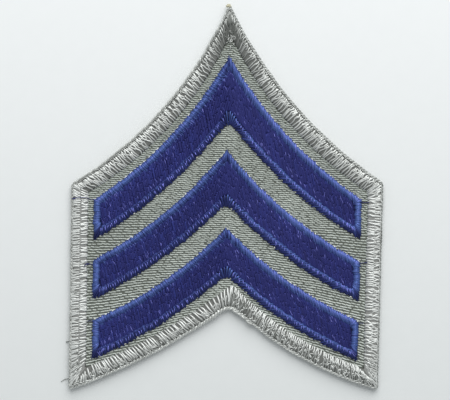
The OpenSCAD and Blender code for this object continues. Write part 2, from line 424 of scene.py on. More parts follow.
# Node making
class Nodes:
    """A node tree with short calls for its nodes."""

    def __init__(self, tree):
        self.tree = tree

    def add(self, kind, **settings):
        node = self.tree.nodes.new(kind)
        for key, value in settings.items():
            if key in node.inputs:
                self.feed(node.inputs[key], value)
            elif hasattr(node, key):
                setattr(node, key, value)
            else:
                self.feed(node.inputs[key.replace("_", " ")], value)
        return node

    def feed(self, socket, value):
        if isinstance(value, bpy.types.NodeSocket):
            self.tree.links.new(value, socket)
        elif hasattr(value, "__len__") and len(value) == 3 and socket.type == "RGBA":
            socket.default_value = (*value, 1.0)
        else:
            socket.default_value = value

    def math(self, operation, a, b=0.0):
        node = self.add("ShaderNodeMath", operation=operation)
        self.feed(node.inputs[0], a)
        self.feed(node.inputs[1], b)
        return node.outputs[0]

    def mix(self, share, a, b):
        node = self.add("ShaderNodeMix", data_type="RGBA")
        self.feed(node.inputs[0], share)
        self.feed(node.inputs[6], a)
        self.feed(node.inputs[7], b)
        return node.outputs[2]

    def ramp(self, value, stops):
        node = self.add("ShaderNodeValToRGB")
        line = node.color_ramp
        while len(line.elements) < len(stops):
            line.elements.new(1.0)
        for element, (place, colour) in zip(line.elements, stops):
            element.position = place
            element.color = (*colour, 1.0)
        self.feed(node.inputs[0], value)
        return node.outputs[0]

    def span(self, value, low, high, to_low=0.0, to_high=1.0):
        node = self.add("ShaderNodeMapRange")
        for index, number in enumerate((value, low, high, to_low, to_high)):
            self.feed(node.inputs[index], number)
        return node.outputs[0]

    def scaled(self, colour, shade):
        node = self.add("ShaderNodeVectorMath", operation="SCALE")
        self.feed(node.inputs[0], colour)
        self.feed(node.inputs["Scale"], shade)
        return node.outputs[0]

    def place(self):
        return self.add("ShaderNodeTexCoord").outputs["Object"]

    def group(self, tree, values):
        node = self.add("ShaderNodeGroup", node_tree=tree)
        for label, value in values.items():
            self.feed(node.inputs[label], value)
        return node.outputs

    def shader(self, colour, roughness, specular):
        """A material's shader, joined to its output."""
        node = self.add("ShaderNodeBsdfPrincipled")
        self.feed(node.inputs["Base Color"], colour)
        self.feed(node.inputs["Roughness"], roughness)
        node.inputs["Specular IOR Level"].default_value = specular
        self.feed(self.add("ShaderNodeOutputMaterial").inputs["Surface"], node.outputs[0])
        return node

    def relief(self, shader, height, strength, depth):
        """Fine relief of a shader, so many mm deep."""
        node = self.add("ShaderNodeBump", Strength=strength, Distance=depth * MM)
        self.feed(node.inputs["Height"], height)
        self.feed(shader.inputs["Normal"], node.outputs[0])


def make_group(name, inputs, outputs):
    """A shader node group with named inputs {name: default} and outputs {name: kind}."""
    tree = bpy.data.node_groups.new(name, "ShaderNodeTree")
    for label, default in inputs.items():
        socket = tree.interface.new_socket(label, in_out="INPUT", socket_type="NodeSocketFloat")
        socket.default_value = default
    for label, kind in outputs.items():
        tree.interface.new_socket(label, in_out="OUTPUT", socket_type=kind)
    nodes = Nodes(tree)
    return tree, nodes, tree.nodes.new("NodeGroupInput"), tree.nodes.new("NodeGroupOutput")


def twist_group():
    """The turns of a plied thread, and the fibres that run along it."""
    tree, n, inside, out = make_group(
        "thread twist",
        {"Turns per mm": 2.4, "Fibre share": 0.35},
        {"Height": "NodeSocketFloat", "Shade": "NodeSocketFloat"},
    )
    uv = n.add("ShaderNodeSeparateXYZ", Vector=n.add("ShaderNodeUVMap", uv_map="thread").outputs[0])
    turns = n.math("ADD", n.math("MULTIPLY", uv.outputs[0], inside.outputs["Turns per mm"]), uv.outputs[1])
    ply = n.math("ADD", n.math("MULTIPLY", n.math("SINE", n.math("MULTIPLY", turns, 2 * math.pi)), 0.5), 0.5)
    bundle = n.add("ShaderNodeCombineXYZ")
    n.feed(bundle.inputs[0], n.math("MULTIPLY", uv.outputs[0], 0.9))
    n.feed(bundle.inputs[1], n.math("MULTIPLY", turns, 13.0))
    fibres = n.add("ShaderNodeTexNoise", Vector=bundle.outputs[0], Scale=1.0, Detail=3.0).outputs[0]
    height = n.mix(inside.outputs["Fibre share"], ply, fibres)
    n.feed(out.inputs["Height"], height)
    n.feed(out.inputs["Shade"], n.span(height, 0.15, 0.8, 0.82, 1.06))
    return tree


def patches_group():
    """Soft uneven patches over the whole piece, from handling, and finer ones from stitch to stitch."""
    tree, n, inside, out = make_group(
        "uneven patches",
        {"Wide": 0.1, "Fine": 0.1},
        {"Shade": "NodeSocketFloat"},
    )
    place = n.place()
    shade = 1.0
    for label, scale, detail in (("Wide", 90.0, 2.0), ("Fine", 700.0, 3.0)):
        noise = n.add("ShaderNodeTexNoise", Vector=place, Scale=scale, Detail=detail).outputs[0]
        strength = n.math("MULTIPLY", inside.outputs[label], 2.0)
        shade = n.math("ADD", n.math("MULTIPLY", n.math("SUBTRACT", noise, 0.5), strength), shade)
    n.feed(out.inputs["Shade"], shade)
    return tree


def weave_group():
    """The rise and fall of close woven cloth, from its weft and warp."""
    tree, n, inside, out = make_group("close weave", {"Fineness": 2000.0}, {"Height": "NodeSocketFloat"})
    yarns = {"Vector": n.place(), "Scale": inside.outputs["Fineness"], "Distortion": 1.5, "Detail Scale": 2.0}
    weft = n.add("ShaderNodeTexWave", bands_direction="Y", **yarns).outputs["Fac"]
    warp = n.add("ShaderNodeTexWave", bands_direction="X", **yarns).outputs["Fac"]
    n.feed(out.inputs["Height"], n.math("MULTIPLY", weft, warp))
    return tree


TWIST = twist_group()
PATCHES = patches_group()
WEAVE = weave_group()


def new_material(name):
    """An empty material and its nodes."""
    material = bpy.data.materials.new(name)
    material.use_nodes = True
    material.node_tree.nodes.clear()
    return material, Nodes(material.node_tree)


def thread_material(name, stops, roughness, metallic=0.0, specular=0.5, turns=2.4, fibre=0.35, wide=0.1,
                    fine=0.12, bump=0.25):
    """Thread whose colour goes by the tone of each strand."""
    material, n = new_material(name)
    colour = n.ramp(n.add("ShaderNodeAttribute", attribute_name="tone").outputs["Fac"], stops)
    twist = n.group(TWIST, {"Turns per mm": turns, "Fibre share": fibre})
    patches = n.group(PATCHES, {"Wide": wide, "Fine": fine})
    colour = n.scaled(colour, n.math("MULTIPLY", twist["Shade"], patches["Shade"]))
    shader = n.shader(colour, n.span(twist["Height"], 0.0, 1.0, roughness + 0.06, roughness - 0.06), specular)
    shader.inputs["Metallic"].default_value = metallic
    n.relief(shader, twist["Height"], bump, 0.03)
    return material


def plain_cloth_material(name, dark, light, back=None):
    """Close woven cloth without drawn yarns, for what shows between or under the threads."""
    material, n = new_material(name)
    weave = n.group(WEAVE, {"Fineness": 2000.0})["Height"]
    woven = n.mix(weave, dark, light)
    if back:
        height = n.add("ShaderNodeSeparateXYZ", Vector=n.place()).outputs[2]
        woven = n.mix(n.span(height, (CLOTH_Z + 0.1) * MM, (CLOTH_Z + 0.2) * MM), back, woven)
    colour = n.scaled(woven, n.group(PATCHES, {"Wide": 0.12, "Fine": 0.12})["Shade"])
    shader = n.shader(colour, n.span(weave, 0.0, 1.0, 0.93, 0.77), 0.2)
    n.relief(shader, weave, 0.4, 0.05)
    return material


def floor_material():
    material, n = new_material("pale_floor")
    place = n.place()
    grain = n.add("ShaderNodeTexNoise", Vector=place, Scale=300.0, Detail=4.0).outputs[0]
    # Painted shade: the paper is painted darker towards the bottom, away from the lamp, as the light's
    # falloff
    painted_falloff = n.span(n.add("ShaderNodeSeparateXYZ", Vector=place).outputs[1], -0.05, 0.05)
    paper = n.mix(painted_falloff, (0.81, 0.835, 0.825), (0.935, 0.955, 0.95))
    colour = n.mix(0.04, paper, n.mix(grain, (0.4, 0.4, 0.4), (1.0, 1.0, 1.0)))
    n.shader(colour, n.span(grain, 0.0, 1.0, 0.75, 0.85), 0.2)
    return material


def finish_piece(piece, material, slot, *nodes):
    """Gives a piece its finish, ties it to the root body, and hides the imported parts that it stands for."""
    piece.data.materials.append(material)
    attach(piece, "root")
    if nodes:
        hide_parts(*nodes)
    return piece


# The outlines
places, rounds, bends, border_shares, FANS = zip(*OUTLINE)
outer = Loop(places, edge_radii(bends), rounds)
border_widths = [share * BORDER_W for share in border_shares]


def make_field():
    """The inner edge of the border, which narrows towards the tip."""
    even = outer.inset(border_widths, INNER_ROUND)
    corners, radii = list(even.corners), list(even.radii)
    corners[0] = outer.corners[0] * (1 - TIP_SHARE) + even.corners[0] * TIP_SHARE
    for i, k in ((RIGHT_ARM, 1), (LEFT_ARM, 0)):
        radii[i] = refitted_radius(even.corners[i], even.corners[k], even.radii[i], corners[i], corners[k])
    return Loop(corners, radii, even.rounds)


field = make_field()
# The cloth's cut edge lies inside the thread that wraps it, with some room
CUT_ROOM = 0.1
cut_edge = outer.inset([WRAP_T + STITCH_GAP + CUT_ROOM] * 6).points()


def side_x(foot, shoulder, y):
    return foot[0] + (shoulder[0] - foot[0]) * (y - foot[1]) / (shoulder[1] - foot[1])


def chevron_loop(row):
    """The outer edge of a chevron's rim."""
    point_place, left_place, right_place, point_depth, left_depth, right_depth, shift = row
    tip, right, right_foot, notch, left_foot, left = field.corners
    depth, depth_l, depth_r = point_depth * BAND_W, left_depth * BAND_W, right_depth * BAND_W

    def level(low, high, room, share):
        return low[1] + (high[1] - low[1] - room) * share

    def point(y):
        return TIP_SHIFT - math.tan(AXIS_LEAN) * (tip_y - y) + shift * BAND_W, y

    def left_end(y):
        return side_x(left_foot, left, y) + END_GAP, y

    def right_end(y):
        return side_x(right_foot, right, y) - END_GAP, y

    crotch_y = level(notch, tip, depth, point_place)
    left_y = level(left_foot, left, depth_l, left_place)
    right_y = level(right_foot, right, depth_r, right_place)
    corners = [
        point(crotch_y + depth),
        right_end(right_y + depth_r),
        right_end(right_y),
        point(crotch_y),
        left_end(left_y),
        left_end(left_y + depth_l),
    ]
    return Loop(corners, edge_radii([e[1] for e in CHEVRON_EDGES]), [e[0] * RIM_W for e in CHEVRON_EDGES])


rim_widths = [edge[2] * RIM_W for edge in CHEVRON_EDGES]
bands = {name: chevron_loop(row) for name, row in CHEVRONS.items()}


def upper_edge(loop, x):
    """Height of the upper edge of a chevron or of the field over x."""
    line = np.concatenate([loop.lines[LEFT_ARM], loop.lines[RIGHT_ARM][1:]])
    return np.interp(x, line[:, 0], line[:, 1])


def lower_edge(loop, x):
    """Height of the lower edge of a chevron or of the field over x."""
    line = np.concatenate([loop.lines[RIGHT_LEG], loop.lines[LEFT_LEG][1:]])[::-1]
    return np.interp(x, line[:, 0], line[:, 1])


# How far the twill's floats run in under the border's and the rims' strands
UNDER_BORDER = 0.3
UNDER_RIM = 0.5


def within(loop, x, y, low, high, margin):
    """Whether points lie inside a loop whose ends are at low and high, further in than the margin."""
    slack = 1.3 * margin
    aside = (x > low + margin) & (x < high - margin)
    return aside & (y < upper_edge(loop, x) - slack) & (y > lower_edge(loop, x) + slack)


def on_bare_cloth(x, y):
    """Whether points lie where the twill shows: inside the border, and outside the chevrons."""
    low = side_x(field.corners[4], field.corners[5], y)
    high = side_x(field.corners[2], field.corners[1], y)
    bare = within(field, x, y, low, high, -UNDER_BORDER)
    for loop in bands.values():
        ends = [corner[0] for corner in loop.corners]
        bare &= ~within(loop, x, y, min(ends), max(ends), UNDER_RIM)
    return bare


# The cloth
CLOTH_TOP = FACE_Z - 0.14
RIB_PITCH = 0.49
# The floats of a rib: their length, step from row to row, tilt, level, half width at the foot and at the tip,
# and half height
FLOAT_LONG = 1.1
FLOAT_STEP = 0.41
FLOAT_TILT = -0.09
FLOAT_Z = FACE_Z - 0.18
FLOAT_HALVES = (0.188, 0.149)
FLOAT_HALF_H = 0.12
# Tone of the twill near the tip, and painted light: how much lighter the twill is painted downwards, where
# the lamp's light falls off, from which height and over how far
TWILL_TONE = 0.57
TWILL_PAINTED_LIGHT = 0.17
PAINTED_LIGHT_FROM = 2.0
PAINTED_LIGHT_OVER = 30.0
# Yarns pushed up beside the chevrons' edges: their pitch, length and distance from the edge; below, their
# level, half width, and a light tone that is a painted highlight
EDGE_FLOATS = {
    RIGHT_ARM: (1.3, 0.66, 0.08),
    LEFT_ARM: (1.45, 0.72, 0.1),
    RIGHT_LEG: (4.1, 0.6, 0.06),
    LEFT_LEG: (3.3, 0.6, 0.06),
}
EDGE_FLOAT_Z = FACE_Z + 0.02
EDGE_FLOAT_HALF = 0.18
EDGE_FLOAT_HIGHLIGHT_TONE = 0.4


def slab(name, loop_points, low, high):
    """A flat closed plate between two heights."""
    count = len(loop_points)
    verts = np.concatenate([lifted(loop_points, low), lifted(loop_points, high)])
    faces = [list(range(count)), list(range(count, 2 * count))[::-1]]
    faces += [[i, i + count, (i + 1) % count + count, (i + 1) % count] for i in range(count)]
    return make_piece(name, verts, faces, smooth=False)


def rib_height(x, y):
    """The way of a rib across the patch: it slopes down to the right, waves, and sags over the legs."""
    slope = -0.045 * x
    wave = 0.12 * np.sin(x * 0.19 + y * 0.11) + 0.07 * np.sin(x * 0.43 - y * 0.17 + 1.3)
    low = np.clip((-6.0 - y) / 34.0, 0, 1)
    legs = -0.36 * low * np.sqrt(np.square(x - 0.5) + 9.0)
    return y + slope + wave + legs


def make_ribs():
    """The twill's ribs: a row of short floats for each, stepping sideways from row to row."""
    rng = np.random.default_rng(RIB_SEED)
    starts, y_rows = [], []
    for r, y in enumerate(np.arange(foot_y, tip_y + 2, RIB_PITCH)):
        cuts = np.arange(left_x + (r * FLOAT_STEP) % FLOAT_LONG, right_x, FLOAT_LONG)
        starts.append(cuts + rng.normal(0, 0.1, len(cuts)))
        y_rows.append(np.full(len(cuts), y) + rng.normal(0, 0.03, len(cuts)))
    x0, y0 = np.concatenate(starts)[:, None], np.concatenate(y_rows)[:, None]
    long = FLOAT_LONG * rng.uniform(0.85, 1.2, len(x0))[:, None]
    steps = np.linspace(0, 1, 5)
    x = x0 + long * steps[None, :]
    tilt = FLOAT_TILT + rng.normal(0, 0.07, (len(x0), 1))
    y = rib_height(x, y0) + tilt * (x - x0 - 0.5 * long)
    bare = on_bare_cloth(x[:, 2], y[:, 2])
    x, y = x[bare], y[bare]
    z = FLOAT_Z + 0.1 * spindle(steps, 0.04, 0.3)[None, :] + rng.normal(0, 0.008, (len(x), 1))
    taper = spindle(steps, 0.1, 0.22)[None, :]
    # Painted light: the twill is given a lighter tone towards the bottom, where the lamp's light falls off
    painted_light = TWILL_PAINTED_LIGHT * np.clip((PAINTED_LIGHT_FROM - y[:, 2]) / PAINTED_LIGHT_OVER, 0, 1)
    tone = np.clip(rng.normal(TWILL_TONE, 0.07, len(x)) + painted_light, 0, 1)
    half_w = np.interp(y[:, 2], [foot_y, tip_y], FLOAT_HALVES)[:, None] * taper
    lines = np.stack([x, y, z], axis=-1)
    across = same_way((0.0, 1.0, 0.0), len(x))
    part = strand_mesh(lines, across, half_w, FLOAT_HALF_H * taper, PACKED_SIDES, tone)
    return strand_piece("twill_ribs", [part])


def make_edge_floats():
    """Yarns of the twill that the satin columns push up beside them, which catch the light and are given a
    pale tone and finish as a painted highlight.
    """
    rng = np.random.default_rng(EDGE_FLOAT_SEED)
    steps = np.linspace(0, 1, 6)
    parts = []
    for loop in bands.values():
        for i, (pitch, long, away) in EDGE_FLOATS.items():
            length = loop.length(i)
            count = int(length / pitch)
            middle = evenly(rng, length, count, 0.25)
            reach = long * rng.uniform(0.7, 1.3, count)[:, None] * (steps - 0.5)[None, :]
            centre = walk(loop.lines[i], middle[:, None] + reach)
            square = to_right(way_along(loop.lines[i], middle))
            off = -square * (away + rng.uniform(0, 0.12, (count, 1)))
            lean = rng.normal(0.12, 0.3, (count, 1)) * reach
            flat = centre + off[:, None, :] + square[:, None, :] * lean[..., None]
            z = EDGE_FLOAT_Z + 0.16 * arch(steps)
            half = EDGE_FLOAT_HALF * spindle(steps, 0.1)[None, :]
            tone = mixed_tones(rng, EDGE_FLOAT_HIGHLIGHT_TONE, 0.3, count)
            lines = lifted(flat, z)
            parts.append(strand_mesh(lines, level_way(square), half, 0.8 * half, THREAD_SIDES, tone))
    return strand_piece("twill_edge_floats", parts)


# The border
STITCH_PITCH = 0.85
WRAP_PITCH = 0.55 * STITCH_PITCH
WRAP_HALF_W = 0.215
WRAP_HALF_H = 0.15
WRAP_TONE = 0.42
# Way of a strand from its purl round the cut edge and along the back: share of the border's width, and height
WRAP_WAY = np.array([
    [0.16, 1.62],
    [0.09, 1.38],
    [0.05, 1.05],
    [0.055, 0.65],
    [0.09, 0.32],
    [0.16, 0.2],
    [0.5, 0.17],
    [0.90, 0.18],
    [1.0, 0.27],
])
# Top of the border's padding: shares of its width from the outer edge, and heights over the cloth's face
CROWN_SHARES = [0.0, 0.1, 0.2, 0.35, 0.5, 0.65, 0.8, 0.92, 1.0, 1.1]
CROWN_RISES = [-0.25, 0.11, 0.31, 0.45, 0.49, 0.45, 0.33, 0.17, 0.03, -0.15]
# Rows of strokes over the edges of the border, one along its inner side and one along its outer side: for
# each edge the shares of its width where a stroke starts and ends, the pitch, half its width at its start and
# end, its slant, bow, lift and tone. The tones hold painted light and shade: lighter on the sides, whose
# strands lie across the light, and darker on the legs' outer halves, which face away from the lamp
INNER_ROWS = [
    (1.02, 0.34, 0.57, 0.17, 0.19, 0.0, 0.15, 0.15, 0.67),
    (1.02, 0.44, 0.56, 0.23, 0.2, -0.2, 0.18, 0.14, 0.83),
    (1.03, 0.68, 0.48, 0.2, 0.15, 0.6, 0.08, 0.2, 0.9),
    (1.03, 0.24, 0.72, 0.26, 0.17, 1.45, 0.1, 0.19, 0.76),
    (1.02, 0.55, 0.58, 0.27, 0.15, 0.4, 0.11, 0.15, 0.95),
    (1.02, 0.5, 0.58, 0.18, 0.18, 0.0, 0.13, 0.16, 0.7),
]
OUTER_ROWS = [
    (0.56, 0.19, 0.56, 0.18, 0.21, 0.0, 0.16, 0.18, 0.73),
    (0.56, 0.04, 0.56, 0.19, 0.22, -0.2, 0.18, 0.15, 0.82),
    (0.74, 0.08, 0.54, 0.18, 0.19, 0.6, 0.2, 0.1, 0.3),
    (0.68, 0.12, 0.72, 0.2, 0.18, 1.45, 0.12, 0.11, 0.44),
    (0.57, 0.06, 0.58, 0.15, 0.28, 0.4, 0.1, 0.15, 0.98),
    (0.62, 0.18, 0.56, 0.17, 0.22, 0.0, 0.12, 0.2, 0.8),
]
# Slant of the strokes along each edge
SLANTS = [row[5] for row in OUTER_ROWS]
# Points along a stroke, the share of it over which each end grows blunt, how deep it lies in the padding, and
# its half height as a share of its half width, over the sides and over the other edges
STROKE_STEPS = 11
BLUNT_SHARE = 0.16
STROKE_DIP = 0.1
SIDE_FLATNESS = 0.5
FLATNESS = 0.6
# How far the strokes of an edge are cropped at its start and end, which they are at the feet alone
CROPPED = {
    RIGHT_SIDE: (0.0, 0.35),
    RIGHT_LEG: (0.4, 0.0),
    LEFT_LEG: (0.0, 0.45),
    LEFT_SIDE: (0.35, 0.0),
}
# Short loops over each edge: how many for each mm, the shares between which they lie, how far they stray,
# their half width and tone
BORDER_LOOPS = [
    (1.3, 0.12, 0.26, 0.3, 0.15, 0.72),
    (0.25, 0.12, 0.4, 0.3, 0.145, 0.6),
    (4.2, 0.08, 0.68, 0.55, 0.14, 0.9),
    (1.6, 0.1, 0.5, 0.6, 0.15, 0.68),
    (0.2, 0.12, 0.4, 0.3, 0.145, 0.6),
    (1.2, 0.12, 0.32, 0.4, 0.145, 0.72),
]
# Loops scattered over each side near its foot
FOOT_LOOPS = 26
# Loops of the tangle under the tip, their half width and tone
POINT_LOOPS = 30
POINT_LOOP_HALF = 0.14
POINT_LOOP_TONE = 0.42
# Turns of the tuft on the tip, their half sizes and tone
TUFT_TURNS = 22
TUFT_HALVES = (0.13, 0.12)
TUFT_TONE = 0.5
# Least and greatest thickness of a loop, as shares of its half width
LOOP_SIZES = (0.8, 1.2)
# Loops that lie along the outside of an edge: how many for each mm, their share, length and tone
EDGE_LOOPS = {RIGHT_LEG: (0.8, 0.12, 0.7, 0.75), LEFT_LEG: (0.55, 0.16, 0.75, 0.85)}
EDGE_LOOP_Z = FACE_Z + 0.15
EDGE_LOOP_HALF = 0.18
# Loops that hang over the edge right of the notch, and how far out
NOTCH_LOOPS = 22
NOTCH_LOOPS_OUT = 0.55
# Angles of the arms' strands to the level, at stations that lie so many mm from the tip
ARM_STATIONS = [0.0, 3.0, 7.0, 10.5, 14.0, 18.0, 50.0, 58.0]
ARM_WAYS = {
    RIGHT_ARM: [85.0, 80.0, 64.0, 47.0, 41.0, 40.0, 38.0, 37.0],
    LEFT_ARM: [95.0, 101.0, 114.0, 130.0, 137.0, 139.0, 141.0, 148.0],
}
# How much wider apart the strokes stand at the tip, or closer at the notch, and how far from it that reaches
TIP_REACH = 18.0
TIP_SPREAD = 0.55
NOTCH_REACH = 6.0
NOTCH_SPREAD = -0.45
# Painted shade: how much darker the strokes are painted at the tip, whose upright strands catch no light, and
# how much more so further in
TIP_PAINTED_SHADE = 0.31
TIP_INNER_PAINTED_SHADE = 0.45
# The shortest stroke
LEAST_STROKE = 1.2
# Tone of the purl along each edge, with painted light and shade: darker on the sides and arms, lighter on the
# legs; and how far it lies further in there, under the strokes
PURL_TONES_AND_SHADE = (0.42, 0.3, 0.62, 0.72, 0.35, 0.4)
PURL_PLACES = (0.06, 0.08, 0.0, 0.0, 0.08, 0.0)
PURL_Z = FACE_Z + 0.07
# How far in the purl lies, a ply's half width, how far it winds aside and up, and the points of a turn
PURL_INSET = 0.26
PURL_HALF = 0.2
WIND_ASIDE = 0.15
WIND_UP = 0.13
TURN_STEPS = 14
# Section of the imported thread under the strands, from its inside over the outer edge and back: share of the
# border's width, and height
CORE_TOP_SHARES = (0.98, 0.9, 0.75, 0.55, 0.35, 0.22)
CORE_EDGE = [
    (0.15, 1.3),
    (0.13, 0.9),
    (0.15, 0.45),
    (0.24, 0.28),
    (0.95, 0.28),
    (0.98, 0.3),
    (0.3, 0.34),
    (0.3, 1.2),
]
# Tone of the imported thread: painted shade, dark so that it shows as shade between the strands, and as light
# as the strands at the sides alone
CORE_SHADE_TONE = 0.22
SIDE_CORE_TONE = 0.9


def crown(share):
    """Height of the top of the border's padding, at a share of its width from the outer edge."""
    return FACE_Z + np.interp(share, CROWN_SHARES, CROWN_RISES)


def from_corner(i, distance, first):
    """How far places along one of the two edges at a corner lie from it. The first edge starts there."""
    return distance if i == first else outer.length(i) - distance


def near_tip(i, distance):
    """How near a place along an edge is to the patch's tip, from 0 to 1."""
    if i not in ARMS:
        return np.zeros_like(distance)
    return np.clip(1 - from_corner(i, distance, RIGHT_ARM) / TIP_REACH, 0, 1)


def spread(i, distance, first, share, reach):
    """Moves places along an edge away from the corner where the first edge starts, or towards it."""
    length = outer.length(i)
    if i not in (first, (first - 1) % 6):
        return distance
    gone = from_corner(i, distance, first)
    gone = gone + share * reach * (1 - np.exp(-gone / reach)) * (1 - gone / length)
    return np.clip(from_corner(i, gone, first), 0.05, length - 0.05)


def met_places(line, feet, angles):
    """Places along an inner line which strands meet that leave their outer feet at angles to the level."""
    places = np.linspace(0, run_length(line), 500)
    gap = walk(line, places)[None, :, :] - feet[:, None, :]
    aside = gap[..., 0] * np.sin(angles)[:, None] - gap[..., 1] * np.cos(angles)[:, None]
    if aside[0, -1] < aside[0, 0]:
        aside = -aside
    return np.array([np.interp(0, row, places) for row in aside])


def border_feet(i, distance, slant):
    """Feet of the border's strands on its two edges, and the way of the edge."""
    cropped = CROPPED.get(i, (0.0, 0.0))
    feet_out, feet_in, way = feet_across(outer, field, i, distance, FANS[i], slant, cropped)
    if i in ARMS:
        angles = np.interp(from_corner(i, distance, RIGHT_ARM), ARM_STATIONS, ARM_WAYS[i])
        places = met_places(field.lines[i], feet_out, np.radians(angles) + slant / BORDER_W)
        feet_in = walk(field.lines[i], places)
    return feet_out, feet_in, way


def spaced(places, least):
    """The strands of a row whose feet keep a least distance, so that they don't crowd at a corner."""
    kept = [0]
    for k in range(1, len(places)):
        if np.linalg.norm(places[k] - places[kept[-1]]) > least:
            kept.append(k)
    return np.array(kept)


def make_row(rng, i, row, phase):
    """A row of strokes over an edge of the border: thick soft threads that dive at both their ends.
    Its phase is 0 for the inner row and 1 for the outer one, whose strokes stand between the inner ones."""
    start, end, pitch, half_start, half_end, slant, bow, lift, tone = row
    length = outer.length(i)
    count = int(round(length / pitch))
    middle = (np.arange(count) + 0.25 + 0.5 * phase) * length / count + rng.normal(0, 0.06, count)
    middle = spread(i, middle, RIGHT_ARM, TIP_SPREAD, TIP_REACH)
    middle = spread(i, middle, LEFT_LEG, NOTCH_SPREAD, NOTCH_REACH)
    t = 0.5 - 0.5 * np.cos(np.linspace(0, math.pi, STROKE_STEPS))
    blunt = np.sqrt(1 - np.square(1 - np.clip(np.minimum(t, 1 - t) / BLUNT_SHARE, 0.03, 1)))
    starts = start + rng.normal(0, 0.012, count)
    ends = end + rng.normal(0, 0.025, count)
    shares = starts[:, None] + (ends - starts)[:, None] * t[None, :]
    swing = rng.normal(0, bow, (count, 1)) * np.sin(math.pi * t)
    swing = swing + rng.normal(0, 0.7 * bow, (count, 1)) * np.sin(2 * math.pi * t)
    nearness = near_tip(i, middle)[:, None]
    inwards = nearness * np.clip((shares - 0.18) / 0.2, 0, 1)
    tones = tone + rng.normal(0, 0.12, (count, 1))
    # Painted shade at the tip, deeper further in
    tones = tones - TIP_PAINTED_SHADE * np.sqrt(nearness) - TIP_INNER_PAINTED_SHADE * inwards
    half = (half_start + (half_end - half_start) * t) * blunt * rng.uniform(0.85, 1.1, (count, 1))
    half = half * (1 - 0.25 * inwards)
    slants = slant + rng.normal(0, 0.07 if i == RIGHT_LEG else 0.14, count)
    feet_out, feet_in, way = border_feet(i, middle, slants)
    flat = crossing(feet_out, feet_in, shares) + way[:, None, :] * swing[..., None]
    z = crown(shares) - STROKE_DIP + (lift + rng.normal(0, 0.025, (count, 1))) * blunt[None, :]
    kept = spaced(feet_in, 0.5 * pitch) if phase == 0 else np.arange(count)
    kept = kept[np.linalg.norm(feet_in - feet_out, axis=1)[kept] > LEAST_STROKE]
    high = (SIDE_FLATNESS if i in SIDES else FLATNESS) * half
    lines, across, tones = lifted(flat, z), level_way(way), np.clip(tones, 0, 1)
    return strand_mesh(lines[kept], across[kept], half[kept], high[kept], STROKE_SIDES, tones[kept])


def make_border_strands(name, rows, phase):
    rng = np.random.default_rng(STROKE_SEED + phase)
    return strand_piece(name, [make_row(rng, i, row, phase) for i, row in enumerate(rows)])


def make_border_wrap():
    """Threads from the purl round the cut edge and along the back."""
    rng = np.random.default_rng(WRAP_SEED)
    parts = []
    for i, row_slant in enumerate(SLANTS):
        length = outer.length(i)
        count = int(round(length / WRAP_PITCH))
        distance = evenly(rng, length, count, 0.03)
        slant = -0.6 * row_slant + rng.normal(0, 0.1, count)
        feet_out, feet_in, way = feet_across(outer, field, i, distance, FANS[i], slant)
        lines = lifted(crossing(feet_out, feet_in, WRAP_WAY[:, 0]), WRAP_WAY[:, 1])
        tone = mixed_tones(rng, WRAP_TONE, 0.1, count)
        parts.append(strand_mesh(lines, level_way(way), WRAP_HALF_W, WRAP_HALF_H, PACKED_SIDES, tone))
    return strand_piece("border_wrap", parts)


def make_top_loops(rng, steps, i):
    """Short threads of the looper that lie on top of an edge's strands."""
    per_mm, low, high, stray, half_w, tone = BORDER_LOOPS[i]
    length = outer.length(i)
    count = int(length * per_mm)
    distance = rng.uniform(0.4, length - 0.4, count)
    near = rng.uniform(low, high, count)
    if i in SIDES:
        by_foot = rng.uniform(0.8, 10.0, FOOT_LOOPS)
        distance = np.concatenate([distance, by_foot if i == LEFT_SIDE else length - by_foot])
        near = np.concatenate([near, rng.uniform(0.15, 0.75, FOOT_LOOPS)])
        count = len(distance)
    feet_out, feet_in, way = border_feet(i, distance, np.full(count, SLANTS[i]))
    shares = near[:, None] + rng.uniform(0.1, 0.22, count)[:, None] * steps[None, :]
    aside = rng.normal(0, stray, (count, 1)) * (steps - 0.5)[None, :]
    aside = aside + rng.normal(0, 0.3 * stray, (count, 1)) * arch(steps)
    flat = crossing(feet_out, feet_in, shares) + way[:, None, :] * aside[..., None]
    z = crown(shares) + 0.04 + 0.13 * arch(steps) + rng.uniform(0.0, 0.05, (count, 1))
    across = lifted(unit(to_right(np.gradient(flat, axis=1))), 0.0)
    return slack_threads(rng, flat, z, across, half_w, LOOP_SIZES, 0.9, tone, 0.16)


def make_point_loops(rng, steps):
    """A small tangle of slack thread where the border's two arms meet under the tip."""
    count = POINT_LOOPS
    middle = field.corners[0] + np.array([0.1, -0.9]) + rng.normal(0, [0.5, 0.85], (count, 2))
    turn = rng.normal(math.pi / 2, 0.7, count)
    way = np.stack([np.cos(turn), np.sin(turn)], axis=-1)
    along = rng.uniform(0.5, 1.2, (count, 1)) * (steps - 0.5)[None, :]
    bow = rng.normal(0, 0.18, (count, 1)) * arch(steps)
    square = to_right(way)
    flat = middle[:, None, :] + way[:, None, :] * along[..., None] + square[:, None, :] * bow[..., None]
    z = FACE_Z + 0.12 + 0.16 * arch(steps) + rng.uniform(0.0, 0.12, (count, 1))
    across = level_way(square)
    return slack_threads(rng, flat, z, across, POINT_LOOP_HALF, LOOP_SIZES, 0.8, POINT_LOOP_TONE, 0.16)


